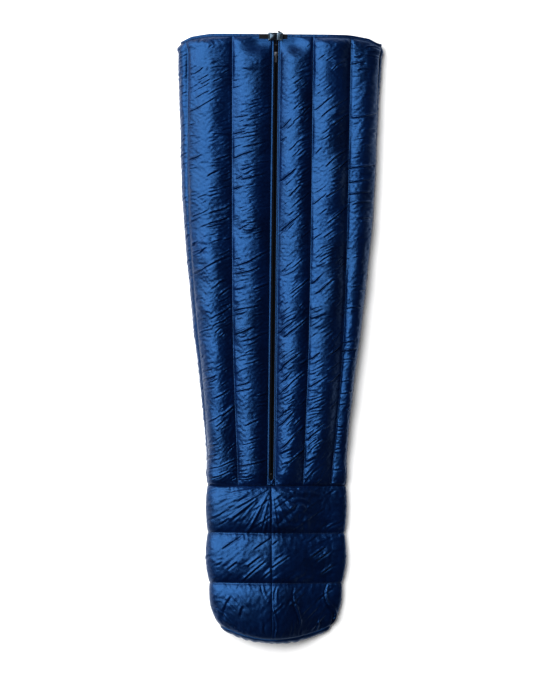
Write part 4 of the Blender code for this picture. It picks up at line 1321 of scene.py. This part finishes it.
def plastic_material(name, roughness, gloss, tint):
    """Moulded black plastic with a fine satin grain."""
    graph = Graph(name, PLASTIC_TONES[0], roughness, Specular_IOR_Level=gloss, Specular_Tint=(*tint, 1))
    grain = graph.noise(graph.object_place(), 2600.0, 2.0)
    cloudy = graph.noise(graph.object_place(), 120.0, 3.0)
    color = graph.blend_colors(cloudy, *PLASTIC_TONES)
    rough = graph.remap(cloudy, 0.3, 0.7, roughness - 0.06, roughness + 0.08)
    return graph.finish(color, rough, graph.bump(grain, 0.000025))


def thread_material():
    graph = Graph("sewing_thread", THREAD_TONES[0], 0.55, Sheen_Weight=0.2)
    twist = graph.wave(graph.object_place((1, 1, 1), (0.5, 0.3, 0.4)), "X", 0.0004)
    color = graph.blend_colors(twist, *THREAD_TONES)
    return graph.finish(color, None, graph.bump(twist, 0.00006))


# ---- Stage ----
FOCAL_MM = 200.0
SENSOR_MM = 36.0
VIEW_HEIGHT = 2.103
VIEW_MIDDLE = (-0.024, 0.003, 0.06)
VIEW_TURN = math.radians(0.49)
FLOOR_GLOW = 0.10
FLOOR_REACH = 30.0
SKY = 0.008
KEY_PLACE = (-3.5, 2.5, 4.9)
KEY_AIM = (0.0, 0.3, 0.0)
KEY_SIZE = 8.6
KEY_POWER = 1340.0


def make_stage():
    """Pale floor, soft key light from the upper left, weak sky and the camera straight above."""
    graph = Graph("pale_floor", (0.86, 0.86, 0.86), 0.9)
    mottle = graph.noise(graph.object_place(), 30.0, 2.0)
    color = graph.blend_colors(mottle, (0.85, 0.85, 0.85), (0.88, 0.88, 0.88))
    graph.shader.inputs["Emission Color"].default_value = (1, 1, 1, 1)
    graph.shader.inputs["Emission Strength"].default_value = FLOOR_GLOW
    graph.finish(color)
    reach = FLOOR_REACH
    corners = [(-reach, -reach, 0), (reach, -reach, 0), (reach, reach, 0), (-reach, reach, 0)]
    floor = make_object("floor", corners, [(0, 1, 2, 3)], [graph.material], smooth=False)
    floor.location.z = -0.0004
    camera = new_object("camera", bpy.data.cameras.new("camera"))
    set_all(camera.data, {"lens": FOCAL_MM, "sensor_width": SENSOR_MM, "clip_end": 100})
    camera.location = Vector(VIEW_MIDDLE) + Vector((0, 0, FOCAL_MM * VIEW_HEIGHT / SENSOR_MM))
    camera.rotation_euler = (0, 0, VIEW_TURN)
    scene = bpy.context.scene
    scene.camera = camera
    light = new_object("key", bpy.data.lights.new("key", "AREA"))
    set_all(light.data, {"shape": "SQUARE", "size": KEY_SIZE, "energy": KEY_POWER})
    light.location = KEY_PLACE
    light.rotation_euler = (Vector(KEY_PLACE) - Vector(KEY_AIM)).to_track_quat("Z", "Y").to_euler()
    world = bpy.data.worlds.new("studio")
    world.use_nodes = True
    background = world.node_tree.nodes["Background"].inputs
    background["Color"].default_value = (0.92, 0.95, 1.0, 1)
    background["Strength"].default_value = SKY
    scene.world = world
    scene.view_settings.view_transform = "Standard"
    scene.view_settings.look = "Medium High Contrast"


# ---- Assembly ----
# CAD node, piece, slot, body and edge rounding of each piece of metal.
METAL = (
    ("zip_slider", "slider", "zip_metal", "zip_slider", 0.00025),
    ("outer_pull", "pull_tab_outer", "zip_pull", "outer_pull", 0.00030),
    ("inner_pull", "pull_tab_inner", "zip_pull", "inner_pull", 0.00030),
    ("top_stop_left", "stop_left", "zip_metal", "root", 0.00045),
    ("top_stop_right", "stop_right", "zip_metal", "root", 0.00045),
    ("bottom_stop", "stop_lower", "zip_metal", "root", 0.00045),
)
# CAD node, piece, body and crown of each half of the buckle.
BUCKLE = (
    ("buckle_female", "buckle_socket", "root", 0.0042),
    ("buckle_male", "buckle_plug", "buckle_male", 0.0012),
)
BUCKLE_ROUNDING = 0.0009
WEBBING_ROUNDING = 0.0003


def numbered(stem, first, last):
    return [f"{stem}_{number}" for number in range(first, last + 1)]


def cloth_nodes(part):
    return [f"shell_{part}", f"lining_{part}"]


def soft_pieces():
    """The quilted panels, the neck's binding, the stitches and the fold at the zipper's end."""
    shell = nylon("shell_nylon_cloth", *SHELL_TONES, 0.36, 0.90, 0.00026)
    lining = nylon("lining_nylon_cloth", *LINING_TONES, 0.60, 0.25, 0.0006)
    binding = nylon("binding_cloth", *BINDING_TONES, 0.36, 0.90, 0.0003)
    thread = thread_material()
    cloth = (shell, lining)
    right = cloth_nodes("right_front") + numbered("fill_right", 1, 3) + numbered("baffle", 1, 3)
    torso_piece("torso_right_front", 0, 3, right, cloth, 101, FRONT_FINE)
    back = cloth_nodes("back") + numbered("fill_back", 1, 4) + numbered("baffle", 4, 7)
    torso_piece("torso_back", 3, 7, back, cloth, 102)
    left = cloth_nodes("left_front") + numbered("fill_left", 1, 3) + numbered("baffle", 8, 9)
    torso_piece("torso_left_front", 7, 10, left, cloth, 103, FRONT_FINE)
    footbox = cloth_nodes("footbox") + numbered("fill_foot", 1, 3) + numbered("ring_wall", 1, 4)
    footbox_piece(footbox, cloth)
    foot_end_piece([*cloth_nodes("foot_end"), "fill_foot_end"], cloth)
    binding_piece((binding, binding))
    seam_stitching([thread])
    placket_stitching([thread])
    zip_end_fold(cloth)


def hard_pieces():
    """The zipper, its slider and pulls, and the buckle with its webbing."""
    coil = plastic_material("coil_monofilament", 0.50, 0.05, (1.0, 1.0, 1.0))
    for side, hand in ((-1, "left"), (1, "right")):
        coil_piece(side, hand, [coil])
    tape = tape_material()
    for node in ("zip_tape_left", "zip_tape_right"):
        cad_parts[node].data.materials.clear()
        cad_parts[node].data.materials.append(tape)
    enamel = enamel_material("black_enamel")
    for piece in METAL:
        rounded_copy(*piece, enamel)
    plastic = plastic_material("buckle_acetal", 0.33, 1.0, (0.55, 0.78, 1.0))
    for node, name, body, crown in BUCKLE:
        rounded_copy(node, name, "buckle_plastic", body, BUCKLE_ROUNDING, plastic, crown)
    webbing = webbing_material()
    for hand in ("left", "right"):
        rounded_copy(f"strap_{hand}", f"webbing_{hand}", "webbing", "root", WEBBING_ROUNDING, webbing)


make_stage()
soft_pieces()
hard_pieces()
